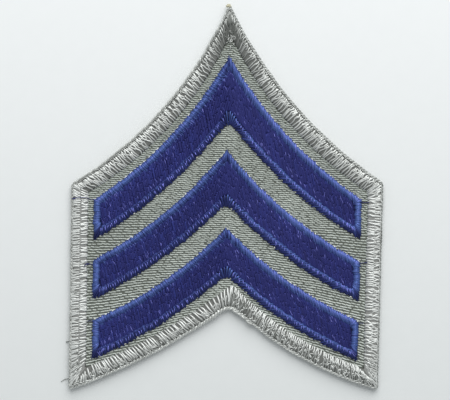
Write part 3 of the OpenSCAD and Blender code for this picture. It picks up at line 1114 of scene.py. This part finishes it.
def make_edge_loops(rng, steps, i):
    """Loops that lie along the outside of an edge. Right of the notch more of them hang over it."""
    per_mm, share, long, tone = EDGE_LOOPS[i]
    length = outer.length(i)
    count = int(length * per_mm)
    middle = evenly(rng, length, count, 0.12)
    if i == RIGHT_LEG:
        middle = np.concatenate([middle, length - rng.uniform(0.6, 6.5, NOTCH_LOOPS)])
    reach = long * rng.uniform(0.75, 1.2, (len(middle), 1)) * (steps - 0.5)[None, :]
    place = share * border_widths[i] + rng.normal(0, 0.07, (len(middle), 1))
    place = place + reach * rng.normal(0.1, 0.25, (len(middle), 1))
    place[count:] -= NOTCH_LOOPS_OUT
    square = to_right(way_along(outer.lines[i], middle))
    flat = walk(outer.lines[i], middle[:, None] + reach) + square[:, None, :] * place[..., None]
    z = EDGE_LOOP_Z + 0.16 * arch(steps) + rng.uniform(0.0, 0.05, (len(middle), 1))
    return slack_threads(rng, flat, z, level_way(square), EDGE_LOOP_HALF, LOOP_SIZES, 0.9, tone, 0.12)


def make_border_loops():
    rng = np.random.default_rng(LOOP_SEED)
    steps = np.linspace(0, 1, 7)
    parts = [make_top_loops(rng, steps, i) for i in range(len(BORDER_LOOPS))]
    parts.append(make_point_loops(rng, steps))
    parts += [make_edge_loops(rng, steps, i) for i in EDGE_LOOPS]
    return strand_piece("border_loops", parts)


def make_purl():
    """The chain of locked loops round the outside: two plies that wind round each other."""
    rng = np.random.default_rng(PURL_SEED)
    edge = outer.inset([PURL_INSET] * 6)
    whole = np.concatenate([edge.points(), edge.points()[:1]])
    length = run_length(whole)
    ends = np.cumsum([run_length(line) for line in edge.lines])
    turns = int(round(length / (2 * STITCH_PITCH)))
    gone = np.linspace(0, length, turns * TURN_STEPS)
    centre = walk(whole, gone)
    square = to_right(unit(np.gradient(centre, axis=0)))
    knots = np.linspace(0, length, int(length / 2.1))
    wobble = np.interp(gone, knots, rng.normal(0, 0.5, len(knots)))
    swell = np.interp(gone, knots, rng.uniform(0.85, 1.15, len(knots)))
    stray = np.interp(gone, knots, rng.normal(0, 0.04, len(knots)))
    on_edges = np.minimum(np.searchsorted(ends, gone), 5)
    base = np.asarray(PURL_TONES_AND_SHADE)[on_edges]
    # The loops are larger just after the notch
    swell = swell * (1 + 0.55 * np.exp(-np.square((gone - ends[2] - 3.5) / 5.0)))
    place = np.asarray(PURL_PLACES)[on_edges]
    place = np.convolve(np.pad(place, 20, mode="wrap"), np.full(41, 1 / 41), mode="valid")
    parts = []
    for ply in (0, 1):
        angle = 2 * math.pi * turns * gone / length + math.pi * ply + wobble
        flat = centre + square * (WIND_ASIDE * swell * np.cos(angle) + stray + place)[:, None]
        z = PURL_Z - place + WIND_UP * swell * np.sin(angle)
        tone = np.clip(base + np.interp(gone, knots, rng.normal(0, 0.12, len(knots))), 0, 1)
        half = (PURL_HALF * swell)[None]
        lines, across = lifted(flat, z)[None], level_way(square)[None]
        parts.append(strand_mesh(lines, across, half, half, THREAD_SIDES, tone[None]))
    return strand_piece("edge_purl", parts)


def make_tip_tuft():
    """A small tangled thread end, sealed on the patch's tip."""
    rng = np.random.default_rng(TUFT_SEED)
    count = TUFT_TURNS
    middle = np.array([TIP_SHIFT - 0.3, tip_y - 0.5, FACE_Z]) + rng.normal(0, [0.17, 0.22, 0.14], (count, 3))
    turn = rng.uniform(0, 2 * math.pi, count)
    size = rng.uniform(0.16, 0.36, (count, 1))
    angle = turn[:, None] + rng.uniform(2.5, 4.5, (count, 1)) * np.linspace(0, 1, 9)[None, :]
    lines = np.stack([
        middle[:, :1] + size * np.cos(angle),
        middle[:, 1:2] + size * np.sin(angle) * 0.8,
        middle[:, 2:] + 0.2 * np.sin(angle * 0.7 + turn[:, None]),
    ], axis=-1)
    across = np.stack([np.cos(angle), np.sin(angle), np.zeros_like(angle)], axis=-1)
    tone = mixed_tones(rng, TUFT_TONE, 0.2, count)
    return strand_piece("tip_tuft", [strand_mesh(lines, across, *TUFT_HALVES, THREAD_SIDES, tone)])


def ring_between(name, a, b, profile, tone):
    """A closed skin swept round between two loops, from a profile of shares and heights, with one tone or one
    for each ring."""
    count, rings = len(profile), len(a)
    tone = np.repeat(np.broadcast_to(tone, rings), count)
    verts = np.stack([lifted(a * (1 - share) + b * share, z) for share, z in profile], axis=1).reshape(-1, 3)
    faces = []
    for r in range(rings):
        following = (r + 1) % rings
        for k in range(count):
            j = (k + 1) % count
            faces.append([r * count + k, following * count + k, following * count + j, r * count + j])
    return make_piece(name, verts, faces, tone=tone, thread_uv=np.zeros((len(verts), 2)))


def make_border_core():
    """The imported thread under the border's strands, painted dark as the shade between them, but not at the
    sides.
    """
    profile = [(share, float(crown(share)) - 0.05) for share in CORE_TOP_SHARES] + CORE_EDGE
    by_edge = [SIDE_CORE_TONE if i in SIDES else CORE_SHADE_TONE for i in range(len(outer.lines))]
    tones = np.concatenate([np.full(len(line) - 1, tone) for line, tone in zip(outer.lines, by_edge)])
    return ring_between("border_core", outer.points(), field.points(), profile, tones)


# The chevrons' fill: the threads' pitch, how far they run on under the rims, their lean, level, half sizes
# and tone, and the levels of the bed under them and of the slack stitches on them
FILL_PITCH = 0.31
FILL_OVERRUN = 0.3
FILL_LEAN = -0.2
FILL_Z = STITCH_Z + 0.35
FILL_HALF_W = 0.245
FILL_HALF_H = 0.1
FILL_TONE = 0.38
FILL_BED_Z = STITCH_Z + 0.29
TICK_Z = STITCH_Z + 0.42
# How much lighter the fill is along its upper edge, over how far, and what each mm to the left adds
FILL_TOP_LIGHTER = 0.14
FILL_TOP_OVER = 1.6
FILL_LEFT_LIGHTER = 0.0014
# Slack stitches near each rim, and those in between, their half width and tone, which is light as a painted
# highlight
RIM_TICKS = 52
FREE_TICKS = 60
TICK_HALF = 0.085
TICK_HIGHLIGHT_TONE = 0.74


def make_fill(name, loop):
    """Upright threads from rim to rim, in runs that dip where the needle went in, over a packed bed."""
    rng = np.random.default_rng(FILL_SEEDS[name])
    fill = loop.inset([w + STITCH_GAP for w in rim_widths])
    low = min(c[0] for c in fill.corners) + 0.1
    high = max(c[0] for c in fill.corners) - 0.1
    x = np.arange(low, high, FILL_PITCH)
    count = len(x)
    x = x + rng.normal(0, 0.02, count)
    top, bottom = upper_edge(fill, x), lower_edge(fill, x)
    middle = (top + bottom) / 2
    # A leaning thread meets the rims beside its middle, so its ends are found again
    for _ in range(2):
        top = upper_edge(fill, np.clip(x + FILL_LEAN * (top - middle), low, high))
        bottom = lower_edge(fill, np.clip(x + FILL_LEAN * (bottom - middle), low, high))
    first_cuts, second_cuts = rng.uniform(0.2, 0.45, count), rng.uniform(0.55, 0.8, count)
    cuts = np.stack([np.zeros(count), first_cuts, second_cuts, np.ones(count)], axis=1)
    # The tones differ less below the point
    calm = 1 - 0.6 * np.exp(-np.square(x - fill.corners[0][0]) / 30)
    steps = np.linspace(0, 1, 8)
    across = same_way((1.0, 0.0, 0.0), count)
    parts = []
    for k in range(3):
        share = cuts[:, k, None] + (cuts[:, k + 1] - cuts[:, k])[:, None] * steps[None, :]
        y = bottom[:, None] - FILL_OVERRUN + (top - bottom + 2 * FILL_OVERRUN)[:, None] * share
        drift = rng.normal(0, 0.04, (count, 1)) * arch(steps) + rng.normal(0, 0.02, (count, 1))
        flat_x = x[:, None] + FILL_LEAN * (y - middle[:, None]) + drift
        z = FILL_Z + 0.04 * spindle(steps, 0.0, 0.3)[None, :] + rng.normal(0, 0.007, (count, 1))
        near_top = np.clip(1 - (top[:, None] - y) / FILL_TOP_OVER, 0, 1)
        tone = FILL_TONE + rng.normal(0, 0.08, (count, 1)) * calm[:, None]
        tone = np.clip(tone + FILL_TOP_LIGHTER * near_top - FILL_LEFT_LIGHTER * x[:, None], 0, 1)
        half_w = FILL_HALF_W * rng.uniform(0.92, 1.1, (count, 1))
        lines = np.stack([flat_x, y, z], axis=-1)
        parts.append(strand_mesh(lines, across, half_w, FILL_HALF_H, PACKED_SIDES, tone))
    parts.append(make_ticks(rng, fill, low, high))
    piece = strand_piece(f"{name}_fill_threads", parts)
    bed = slab(f"{name}_fill_bed", fill.points(), STITCH_Z - 0.1, FILL_BED_Z)
    return piece, bed


def make_ticks(rng, fill, low, high):
    """Short slack stitches that catch the light and are given a light tone as a painted highlight, most of
    them near the rims.
    """
    near, free = RIM_TICKS, FREE_TICKS
    x = rng.uniform(low + 0.5, high - 0.5, near * 2 + free)
    top, bottom = upper_edge(fill, x), lower_edge(fill, x)
    y = np.empty(len(x))
    y[:near] = top[:near] - 0.4 - np.abs(rng.normal(0, 0.9, near))
    y[near:2 * near] = bottom[near:2 * near] + 0.4 + np.abs(rng.normal(0, 0.6, near))
    y[2 * near:] = bottom[2 * near:] + (top - bottom)[2 * near:] * rng.uniform(0.2, 0.85, free)
    steps = np.linspace(0, 1, 7)
    upwards = rng.uniform(0.5, 1.3, (len(x), 1)) * (steps - 0.5)[None, :]
    aside = rng.normal(-0.38, 0.16, (len(x), 1)) * upwards
    flat = np.stack([x[:, None] + aside, y[:, None] + upwards], axis=-1)
    half = TICK_HALF * spindle(steps)[None, :] * rng.uniform(0.7, 1.2, (len(x), 1))
    tone = mixed_tones(rng, TICK_HIGHLIGHT_TONE, 0.14, len(x))
    tone[2 * near:] -= 0.14
    lines = lifted(flat, TICK_Z + 0.05 * arch(steps))
    across = same_way((1.0, 0.0, 0.0), len(x))
    return strand_mesh(lines, across, half, half * 0.85, THREAD_SIDES, tone)


# A rim's section from its outer edge to its inner one: shares of its width, then the heights there, as shares
# of the rim's height, for the upper edges, the ends and the lower edges
RIM_SHARES = np.array([-0.05, 0.01, 0.1, 0.25, 0.42, 0.58, 0.74, 0.87, 0.96, 1.04])
UPPER_RIM = np.array([0.0, 0.34, 0.62, 0.81, 0.88, 0.86, 0.78, 0.68, 0.6, 0.46])
END_RIM = np.array([0.0, 0.34, 0.62, 0.81, 0.88, 0.88, 0.81, 0.66, 0.45, 0.2])
LOWER_RIM = np.array([0.0, 0.2, 0.36, 0.5, 0.63, 0.74, 0.84, 0.86, 0.68, 0.3])
RIM_SECTIONS = [UPPER_RIM, END_RIM, LOWER_RIM, LOWER_RIM, END_RIM, UPPER_RIM]
# Tone of a rim's strands at its outer edge, in its middle and at its inner edge, with painted light and
# shade:
# the upper rims' outer sides, which face the lamp, lighter, and the lower rims' outer sides, which face away,
# dark
RIM_TONES_AND_SHADE = [
    (0.58, 0.56, 0.4),
    (0.48, 0.52, 0.46),
    (0.08, 0.26, 0.46),
    (0.08, 0.17, 0.22),
    (0.48, 0.52, 0.46),
    (0.5, 0.48, 0.34),
]
# How far the teeth of a rim's outer edge reach out, as shares of its width, their pitches, and how much the
# strands' tone goes up and down with them
RIM_TEETH = (0.16, 0.05, 0.15, 0.16, 0.05, 0.16)
TOOTH_PITCHES = (0.8, 0.7, 1.02, 1.02, 0.7, 0.8)
RIM_STREAKS = (0.24, 0.12, 0.1, 0.1, 0.12, 0.22)
# Half a rim strand's width in pitches, and half its height
RIM_PACKING = 0.7
RIM_STRAND_H = 0.1
# The heads of the lower rims' stitches: their pitch, how far they lie from the rim's inner edge, their level,
# half width and tone, which is light as a painted highlight
HEAD_PITCH = 0.74
HEAD_PLACES = {RIGHT_LEG: 0.7, LEFT_LEG: 0.85}
HEAD_Z = STITCH_Z + 0.8 * RIM_H
HEAD_HALF = 0.13
HEAD_HIGHLIGHT_TONE = 0.94
# Inner ends of the upper rims' stitches: their pitch, level and half width at the rim, and their tone
FINGER_PITCH = 0.42
FINGER_Z = STITCH_Z + 0.57
FINGER_HALF = 0.17
FINGER_TONE = 0.42
# Section of a rim's padding: shares of its width, and heights over the cloth's face
RIM_BED = [(0.06, -0.05), (0.1, 0.25), (0.3, 0.43), (0.5, 0.55), (0.7, 0.55), (0.9, 0.4), (0.94, -0.05)]


def smooth_noise(rng, count, knots, size):
    """Noise that drifts along a row of strands."""
    places = np.linspace(0, 1, max(int(count / knots), 2))
    return np.interp(np.linspace(0, 1, count), places, rng.normal(0, size, len(places)))


def make_rim_edge(rng, loop, inner, i):
    """The satin column along an edge of a chevron: strands laid side by side."""
    _, _, _, pitch, slant = CHEVRON_EDGES[i]
    length = loop.length(i)
    count = int(round(length / pitch))
    distance = evenly(rng, length, count, 0.04)
    fan = 1.2 + abs(slant)
    slants = slant + rng.normal(0, 0.06, count)
    feet_out, feet_in, _ = feet_across(loop, inner, i, distance, (fan, fan), slants)
    reach = rng.normal(0, 0.04, (count, 2)) + smooth_noise(rng, count, 3, 0.05)[:, None]
    teeth = 2 * math.pi * distance / TOOTH_PITCHES[i] + smooth_noise(rng, count, 6, 1.2)
    teeth = 0.5 + 0.5 * np.sin(teeth)
    reach[:, 0] -= RIM_TEETH[i] * np.square(teeth)
    reach[:, 1] += 0.14 * rng.uniform(0.2, 1, count) * (i in ARMS)
    # How far the strands are from the point, from the crotch, or from the lower corner of an end
    gone = distance if i in (RIGHT_ARM, LEFT_LEG, LEFT_SIDE) else length - distance
    if i in LEGS:
        reach[:, 0] -= 0.2 * np.exp(-gone / 1.2)
    shares = RIM_SHARES + reach[:, :1] * (1 - RIM_SHARES) + reach[:, 1:] * RIM_SHARES
    flat = crossing(feet_out, feet_in, shares)
    z = STITCH_Z + RIM_H * RIM_SECTIONS[i][None, :] * rng.normal(1, 0.03, (count, 1))
    tone = np.interp(RIM_SHARES, [0, 0.5, 1], RIM_TONES_AND_SHADE[i])[None, :] + rng.normal(0, 0.05, (count, 1))
    tone = tone + RIM_STREAKS[i] * (teeth - 0.5)[:, None]
    if i in LEGS:
        tone = tone + 0.06 * np.exp(-gone / 1.6)[:, None]
    if i in ARMS:
        tone = tone - np.exp(-gone / 4.5)[:, None] * rng.uniform(-0.1, 0.5, (count, 1))
    # Painted shade: the ends grow dark at their lower corners, where the lower rims' shaded band runs on
    if i in SIDES:
        tone = tone - 0.42 * np.clip(1.7 - gone, 0, 1)[:, None]
    across = level_way(unit(to_right(feet_in - feet_out)))
    lean_share = np.linalg.norm(feet_in - feet_out, axis=1) / rim_widths[i]
    half_w = (pitch * RIM_PACKING / np.clip(lean_share, 1, 2))[:, None] * rng.uniform(0.95, 1.25, (count, 1))
    return strand_mesh(lifted(flat, z), across, half_w, RIM_STRAND_H, THREAD_SIDES, np.clip(tone, 0, 1))


def make_heads(rng, loop, inner, i):
    """The heads of the lower rims' stitches, which stand up beside the fill, catch the light and are given a
    light tone as a painted highlight.
    """
    length = loop.length(i)
    distance = evenly(rng, length, int(length / HEAD_PITCH), 0.13)
    distance = distance[(distance if i == LEFT_LEG else length - distance) > 0.5]
    count = len(distance)
    feet_out, feet_in, way = feet_across(loop, inner, i, distance, (2.0, 2.0), rng.normal(0, 0.1, count))
    steps = np.linspace(0, 1, 7)
    lean = unit(feet_in - feet_out) * 0.35 + np.array([[-0.12, 0.65]])
    upright = unit(lean + rng.normal(0, 0.12, (count, 2)))
    along = (steps - 0.5)[None, :] * rng.uniform(0.7, 1.15, (count, 1))
    along = along - HEAD_PLACES[i] + rng.uniform(-0.22, 0.22, (count, 1))
    flat = feet_in[:, None, :] + upright[:, None, :] * along[..., None]
    z = HEAD_Z + 0.1 * arch(steps) - 0.3 * np.clip(along, 0, 1)
    return slack_threads(rng, flat, z, level_way(way), HEAD_HALF, (0.7, 1.15), 0.8, HEAD_HIGHLIGHT_TONE, 0.12)


def make_fingers(rng, loop, inner, i):
    """Inner ends of the upper rims' stitches, which run on over the fill by uneven lengths."""
    length = loop.length(i)
    count = int(length / FINGER_PITCH)
    distance = evenly(rng, length, count, 0.1)
    slant = CHEVRON_EDGES[i][4] + rng.normal(0, 0.1, count)
    feet_out, feet_in, _ = feet_across(loop, inner, i, distance, (2.0, 2.0), slant)
    steps = np.linspace(0, 1, 7)[None, :]
    inwards = unit(feet_in - feet_out)
    along = -0.35 + (0.35 + rng.uniform(0.15, 0.95, (count, 1))) * steps
    flat = feet_in[:, None, :] + inwards[:, None, :] * along[..., None]
    z = FINGER_Z - 0.14 * steps + rng.normal(0, 0.01, (count, 1))
    half = FINGER_HALF * (1 - 0.5 * steps) * rng.uniform(0.8, 1.2, (count, 1))
    # Painted glints: about one in five fingers is given a lighter tone
    tone = rng.normal(FINGER_TONE, 0.1, (count, 1)) + 0.3 * (rng.uniform(0, 1, (count, 1)) < 0.22)
    tone = np.clip(tone - 0.12 * steps, 0, 1)
    return strand_mesh(lifted(flat, z), level_way(to_right(inwards)), half, 0.5 * half, THREAD_SIDES, tone)


def make_rim(name, loop):
    """The rim of a chevron: a satin column round it, and the ends of its stitches beside the fill."""
    rng = np.random.default_rng(RIM_SEEDS[name])
    inner = loop.inset(rim_widths)
    parts = [make_rim_edge(rng, loop, inner, i) for i in range(len(CHEVRON_EDGES))]
    parts += [make_heads(rng, loop, inner, i) for i in LEGS]
    parts += [make_fingers(rng, loop, inner, i) for i in ARMS]
    return strand_piece(f"{name}_rim_threads", parts)


def make_rim_bed(name, loop):
    """The padding under a rim's strands."""
    inner = loop.inset(rim_widths)
    profile = [(share, FACE_Z + rise) for share, rise in RIM_BED]
    return ring_between(f"{name}_rim_bed", loop.points(), inner.points(), profile, 0.2)


# Loose threads: places along each of them, its half width and its tone. First the needle's thread where it
# jumped from a chevron to the border, cut short or left across it
JUMP_THREADS = [
    ([(-31.0, -0.9, 2.15), (-32.3, -0.55, 1.85), (-33.4, -0.3, 1.62), (-34.0, -0.1, 1.9)], 0.1, 0.05),
    ([(-33.7, -0.15, 1.75), (-34.6, 0.02, 2.08), (-35.8, 0.0, 2.12), (-36.9, -0.15, 2.08),
      (-37.3, -0.25, 1.9)], 0.055, 0.5),
    ([(-36.5, -0.2, 2.08), (-37.0, -0.3, 2.14), (-37.5, -0.4, 1.95)], 0.12, 0.3),
    ([(-32.2, -16.4, 2.0), (-33.0, -16.1, 1.6), (-33.6, -16.0, 1.75), (-34.1, -16.2, 2.0),
      (-34.5, -16.9, 2.02)], 0.1, 0.15),
    ([(-33.2, -16.1, 1.65), (-33.8, -16.3, 1.9), (-34.3, -16.2, 2.05)], 0.08, 0.3),
    ([(-32.3, -30.2, 2.0), (-33.0, -29.9, 1.6), (-33.7, -30.1, 1.9)], 0.1, 0.1),
    ([(32.5, -1.1, 2.1), (33.3, -1.2, 1.65), (34.2, -1.3, 1.9), (34.8, -1.2, 2.0)], 0.12, 0.05),
    ([(32.2, -16.2, 2.1), (33.0, -15.9, 1.65), (33.9, -15.8, 1.8), (34.4, -15.9, 1.95)], 0.1, 0.2),
    ([(31.7, -30.4, 2.1), (32.6, -30.5, 1.65), (33.5, -30.6, 1.85)], 0.1, 0.1),
    ([(29.9, -36.8, 2.0), (30.6, -37.7, 2.22), (31.4, -38.7, 2.1)], 0.09, 0.9),
    ([(30.3, -36.7, 2.0), (31.0, -37.6, 2.2), (31.6, -38.3, 2.1)], 0.08, 0.75),
    ([(-31.4, -37.2, 2.05), (-30.9, -37.9, 2.2), (-30.4, -38.5, 2.0)], 0.08, 0.85),
]
# Two short ends of the border's thread that stick out at its left side
LOOSE_ENDS = [
    ([(-37.9, -35.0, 0.9), (-38.4, -35.1, 0.45), (-39.0, -35.2, 0.2)], 0.12, 0.05),
    ([(-37.8, -44.0, 0.8), (-38.5, -44.1, 0.35), (-39.4, -44.3, 0.16), (-40.2, -44.9, 0.14)], 0.09, 0.3),
]
LOOSE_STEPS = 24


def thread_run(points, half, tone):
    """One loose thread through a few places."""
    points = np.asarray(points, float)
    knots = np.linspace(0, 1, len(points))
    t = np.linspace(0, 1, LOOSE_STEPS)
    line = np.stack([np.interp(t, knots, points[:, k]) for k in range(3)], axis=-1)
    for _ in range(3):
        line[1:-1] = (line[:-2] + 2 * line[1:-1] + line[2:]) / 4
    half = half * np.clip(np.minimum(t, 1 - t) * 8 + 0.4, 0, 1)[None]
    return strand_mesh(line[None], same_way((0.0, 1.0, 0.0), 1), half, half, THREAD_SIDES, np.array([tone]))


def make_loose_threads(name, runs):
    return strand_piece(name, [thread_run(*run) for run in runs])


# Finishes
BORDER_STOPS = [(0.0, (0.17, 0.18, 0.165)), (0.5, (0.56, 0.575, 0.55)), (1.0, (0.86, 0.88, 0.85))]
# The packing is dark as painted shade between the border's strands
PACKING_STOPS = [(0.0, (0.13, 0.135, 0.125)), (1.0, (0.34, 0.345, 0.33))]
TUFT_STOPS = [(0.0, (0.5, 0.47, 0.32)), (1.0, (0.8, 0.77, 0.6))]
TWILL_STOPS = [(0.0, (0.235, 0.255, 0.22)), (0.5, (0.475, 0.515, 0.465)), (1.0, (0.76, 0.81, 0.75))]
# The pushed-up yarns' pale finish is a painted highlight
FLOAT_HIGHLIGHT_STOPS = [(0.0, (0.5, 0.51, 0.42)), (0.5, (0.82, 0.84, 0.78)), (1.0, (0.95, 0.96, 0.94))]
# The fill's lightest stop is a painted highlight, for the ticks
FILL_STOPS = [
    (0.0, (0.02, 0.022, 0.1)),
    (0.4, (0.031, 0.035, 0.18)),
    (0.6, (0.038, 0.05, 0.25)),
    (1.0, (0.3, 0.31, 0.85)),
]
# The rim's lightest stop is a painted highlight, for the heads
RIM_STOPS = [
    (0.0, (0.022, 0.026, 0.1)),
    (0.25, (0.04, 0.055, 0.22)),
    (0.5, (0.09, 0.15, 0.42)),
    (1.0, (0.25, 0.27, 0.82)),
]
PADDING_STOPS = [(0.0, (0.012, 0.015, 0.07)), (1.0, (0.025, 0.035, 0.16))]

twill_ground = plain_cloth_material("twill_ground", (0.11, 0.12, 0.1), (0.21, 0.225, 0.2), (0.36, 0.38, 0.35))
twill_yarn = thread_material("twill_yarn", TWILL_STOPS, 0.55, specular=0.4, wide=0.15, fine=0.2)
raised_yarn_highlight = thread_material("raised_yarn_highlight", FLOAT_HIGHLIGHT_STOPS, 0.5, fine=0.2)
border_thread = thread_material(
    "border_thread", BORDER_STOPS, 0.45, metallic=0.55, wide=0.08, turns=0.5, fibre=0.5, bump=0.2)
border_packing = thread_material("border_packing", PACKING_STOPS, 0.7, specular=0.2)
tuft_thread = thread_material("tuft_thread", TUFT_STOPS, 0.6, fibre=0.6)
fill_thread = thread_material(
    "fill_thread", FILL_STOPS, 0.48, metallic=0.4, specular=0.25, wide=0.2, fine=0.2, bump=0.1)
fill_bed = plain_cloth_material("fill_bed", (0.015, 0.016, 0.07), (0.025, 0.027, 0.12))
rim_thread = thread_material("rim_thread", RIM_STOPS, 0.46, metallic=0.5, specular=0.25, bump=0.1)
rim_padding = thread_material("rim_padding", PADDING_STOPS, 0.6, specular=0.2)

cloth = slab("twill_cloth", cut_edge, CLOTH_Z, CLOTH_TOP)
finish_piece(cloth, twill_ground, "twill", "ground_cloth")
finish_piece(make_ribs(), twill_yarn, "twill")
finish_piece(make_edge_floats(), raised_yarn_highlight, "twill")
inner_strands = make_border_strands("border_inner_strands", INNER_ROWS, 0)
outer_strands = make_border_strands("border_outer_strands", OUTER_ROWS, 1)
finish_piece(inner_strands, border_thread, "border_thread", "edge_border")
finish_piece(outer_strands, border_thread, "border_thread", "edge_border")
finish_piece(make_border_wrap(), border_thread, "border_thread", "edge_border")
finish_piece(make_border_loops(), border_thread, "border_thread")
finish_piece(make_border_core(), border_packing, "border_thread")
finish_piece(make_purl(), border_thread, "border_thread")
finish_piece(make_loose_threads("loose_ends", LOOSE_ENDS), border_thread, "border_thread")
finish_piece(make_tip_tuft(), tuft_thread, "border_thread")
for name, loop in bands.items():
    fill_piece, bed_piece = make_fill(name, loop)
    finish_piece(fill_piece, fill_thread, "fill_thread", f"chevron_{name}_fill")
    finish_piece(bed_piece, fill_bed, "fill_thread")
    finish_piece(make_rim(name, loop), rim_thread, "rim_thread", f"chevron_{name}_rim")
    finish_piece(make_rim_bed(name, loop), rim_padding, "rim_thread")
finish_piece(make_loose_threads("jump_threads", JUMP_THREADS), fill_thread, "fill_thread")

# Floor, light and camera, in metres
FLOOR_HALF = 1.5
KEY_PLACE = (0.1, 0.57, 0.53)
KEY_SIZE = (0.8, 0.85)
KEY_POWER = 6.3
WORLD_COLOUR = (0.93, 0.97, 1.0)
WORLD_STRENGTH = 0.42

floor_mesh = bpy.data.meshes.new("floor")
floor_corners = [(x * FLOOR_HALF, y * FLOOR_HALF, 0) for x, y in ((-1, -1), (1, -1), (1, 1), (-1, 1))]
floor_mesh.from_pydata(floor_corners, [], [[0, 1, 2, 3]])
floor = bpy.data.objects.new("floor", floor_mesh)
floor.data.materials.append(floor_material())
bpy.context.scene.collection.objects.link(floor)

world = bpy.data.worlds.new("studio")
bpy.context.scene.world = world
world.use_nodes = True
world.node_tree.nodes["Background"].inputs["Color"].default_value = (*WORLD_COLOUR, 1)
world.node_tree.nodes["Background"].inputs["Strength"].default_value = WORLD_STRENGTH

key_lamp = bpy.data.lights.new("key_lamp", "AREA")
key_lamp.shape = "RECTANGLE"
key_lamp.size, key_lamp.size_y = KEY_SIZE
key_lamp.energy = KEY_POWER
key_holder = bpy.data.objects.new("key_lamp", key_lamp)
key_holder.location = KEY_PLACE
key_holder.rotation_euler = (-Vector(KEY_PLACE)).to_track_quat("-Z", "Y").to_euler()
bpy.context.scene.collection.objects.link(key_holder)

camera = bpy.data.cameras.new("camera")
camera.lens = LENS
camera.sensor_width = SENSOR
camera_holder = bpy.data.objects.new("camera", camera)
camera_rise = PHOTO_W * MM * LENS / SENSOR
camera_holder.location = (CAMERA_X * MM, CAMERA_Y * MM, FACE_LEVEL * MM + camera_rise)
bpy.context.scene.collection.objects.link(camera_holder)
bpy.context.scene.camera = camera_holder
bpy.context.scene.view_settings.view_transform = "Standard"
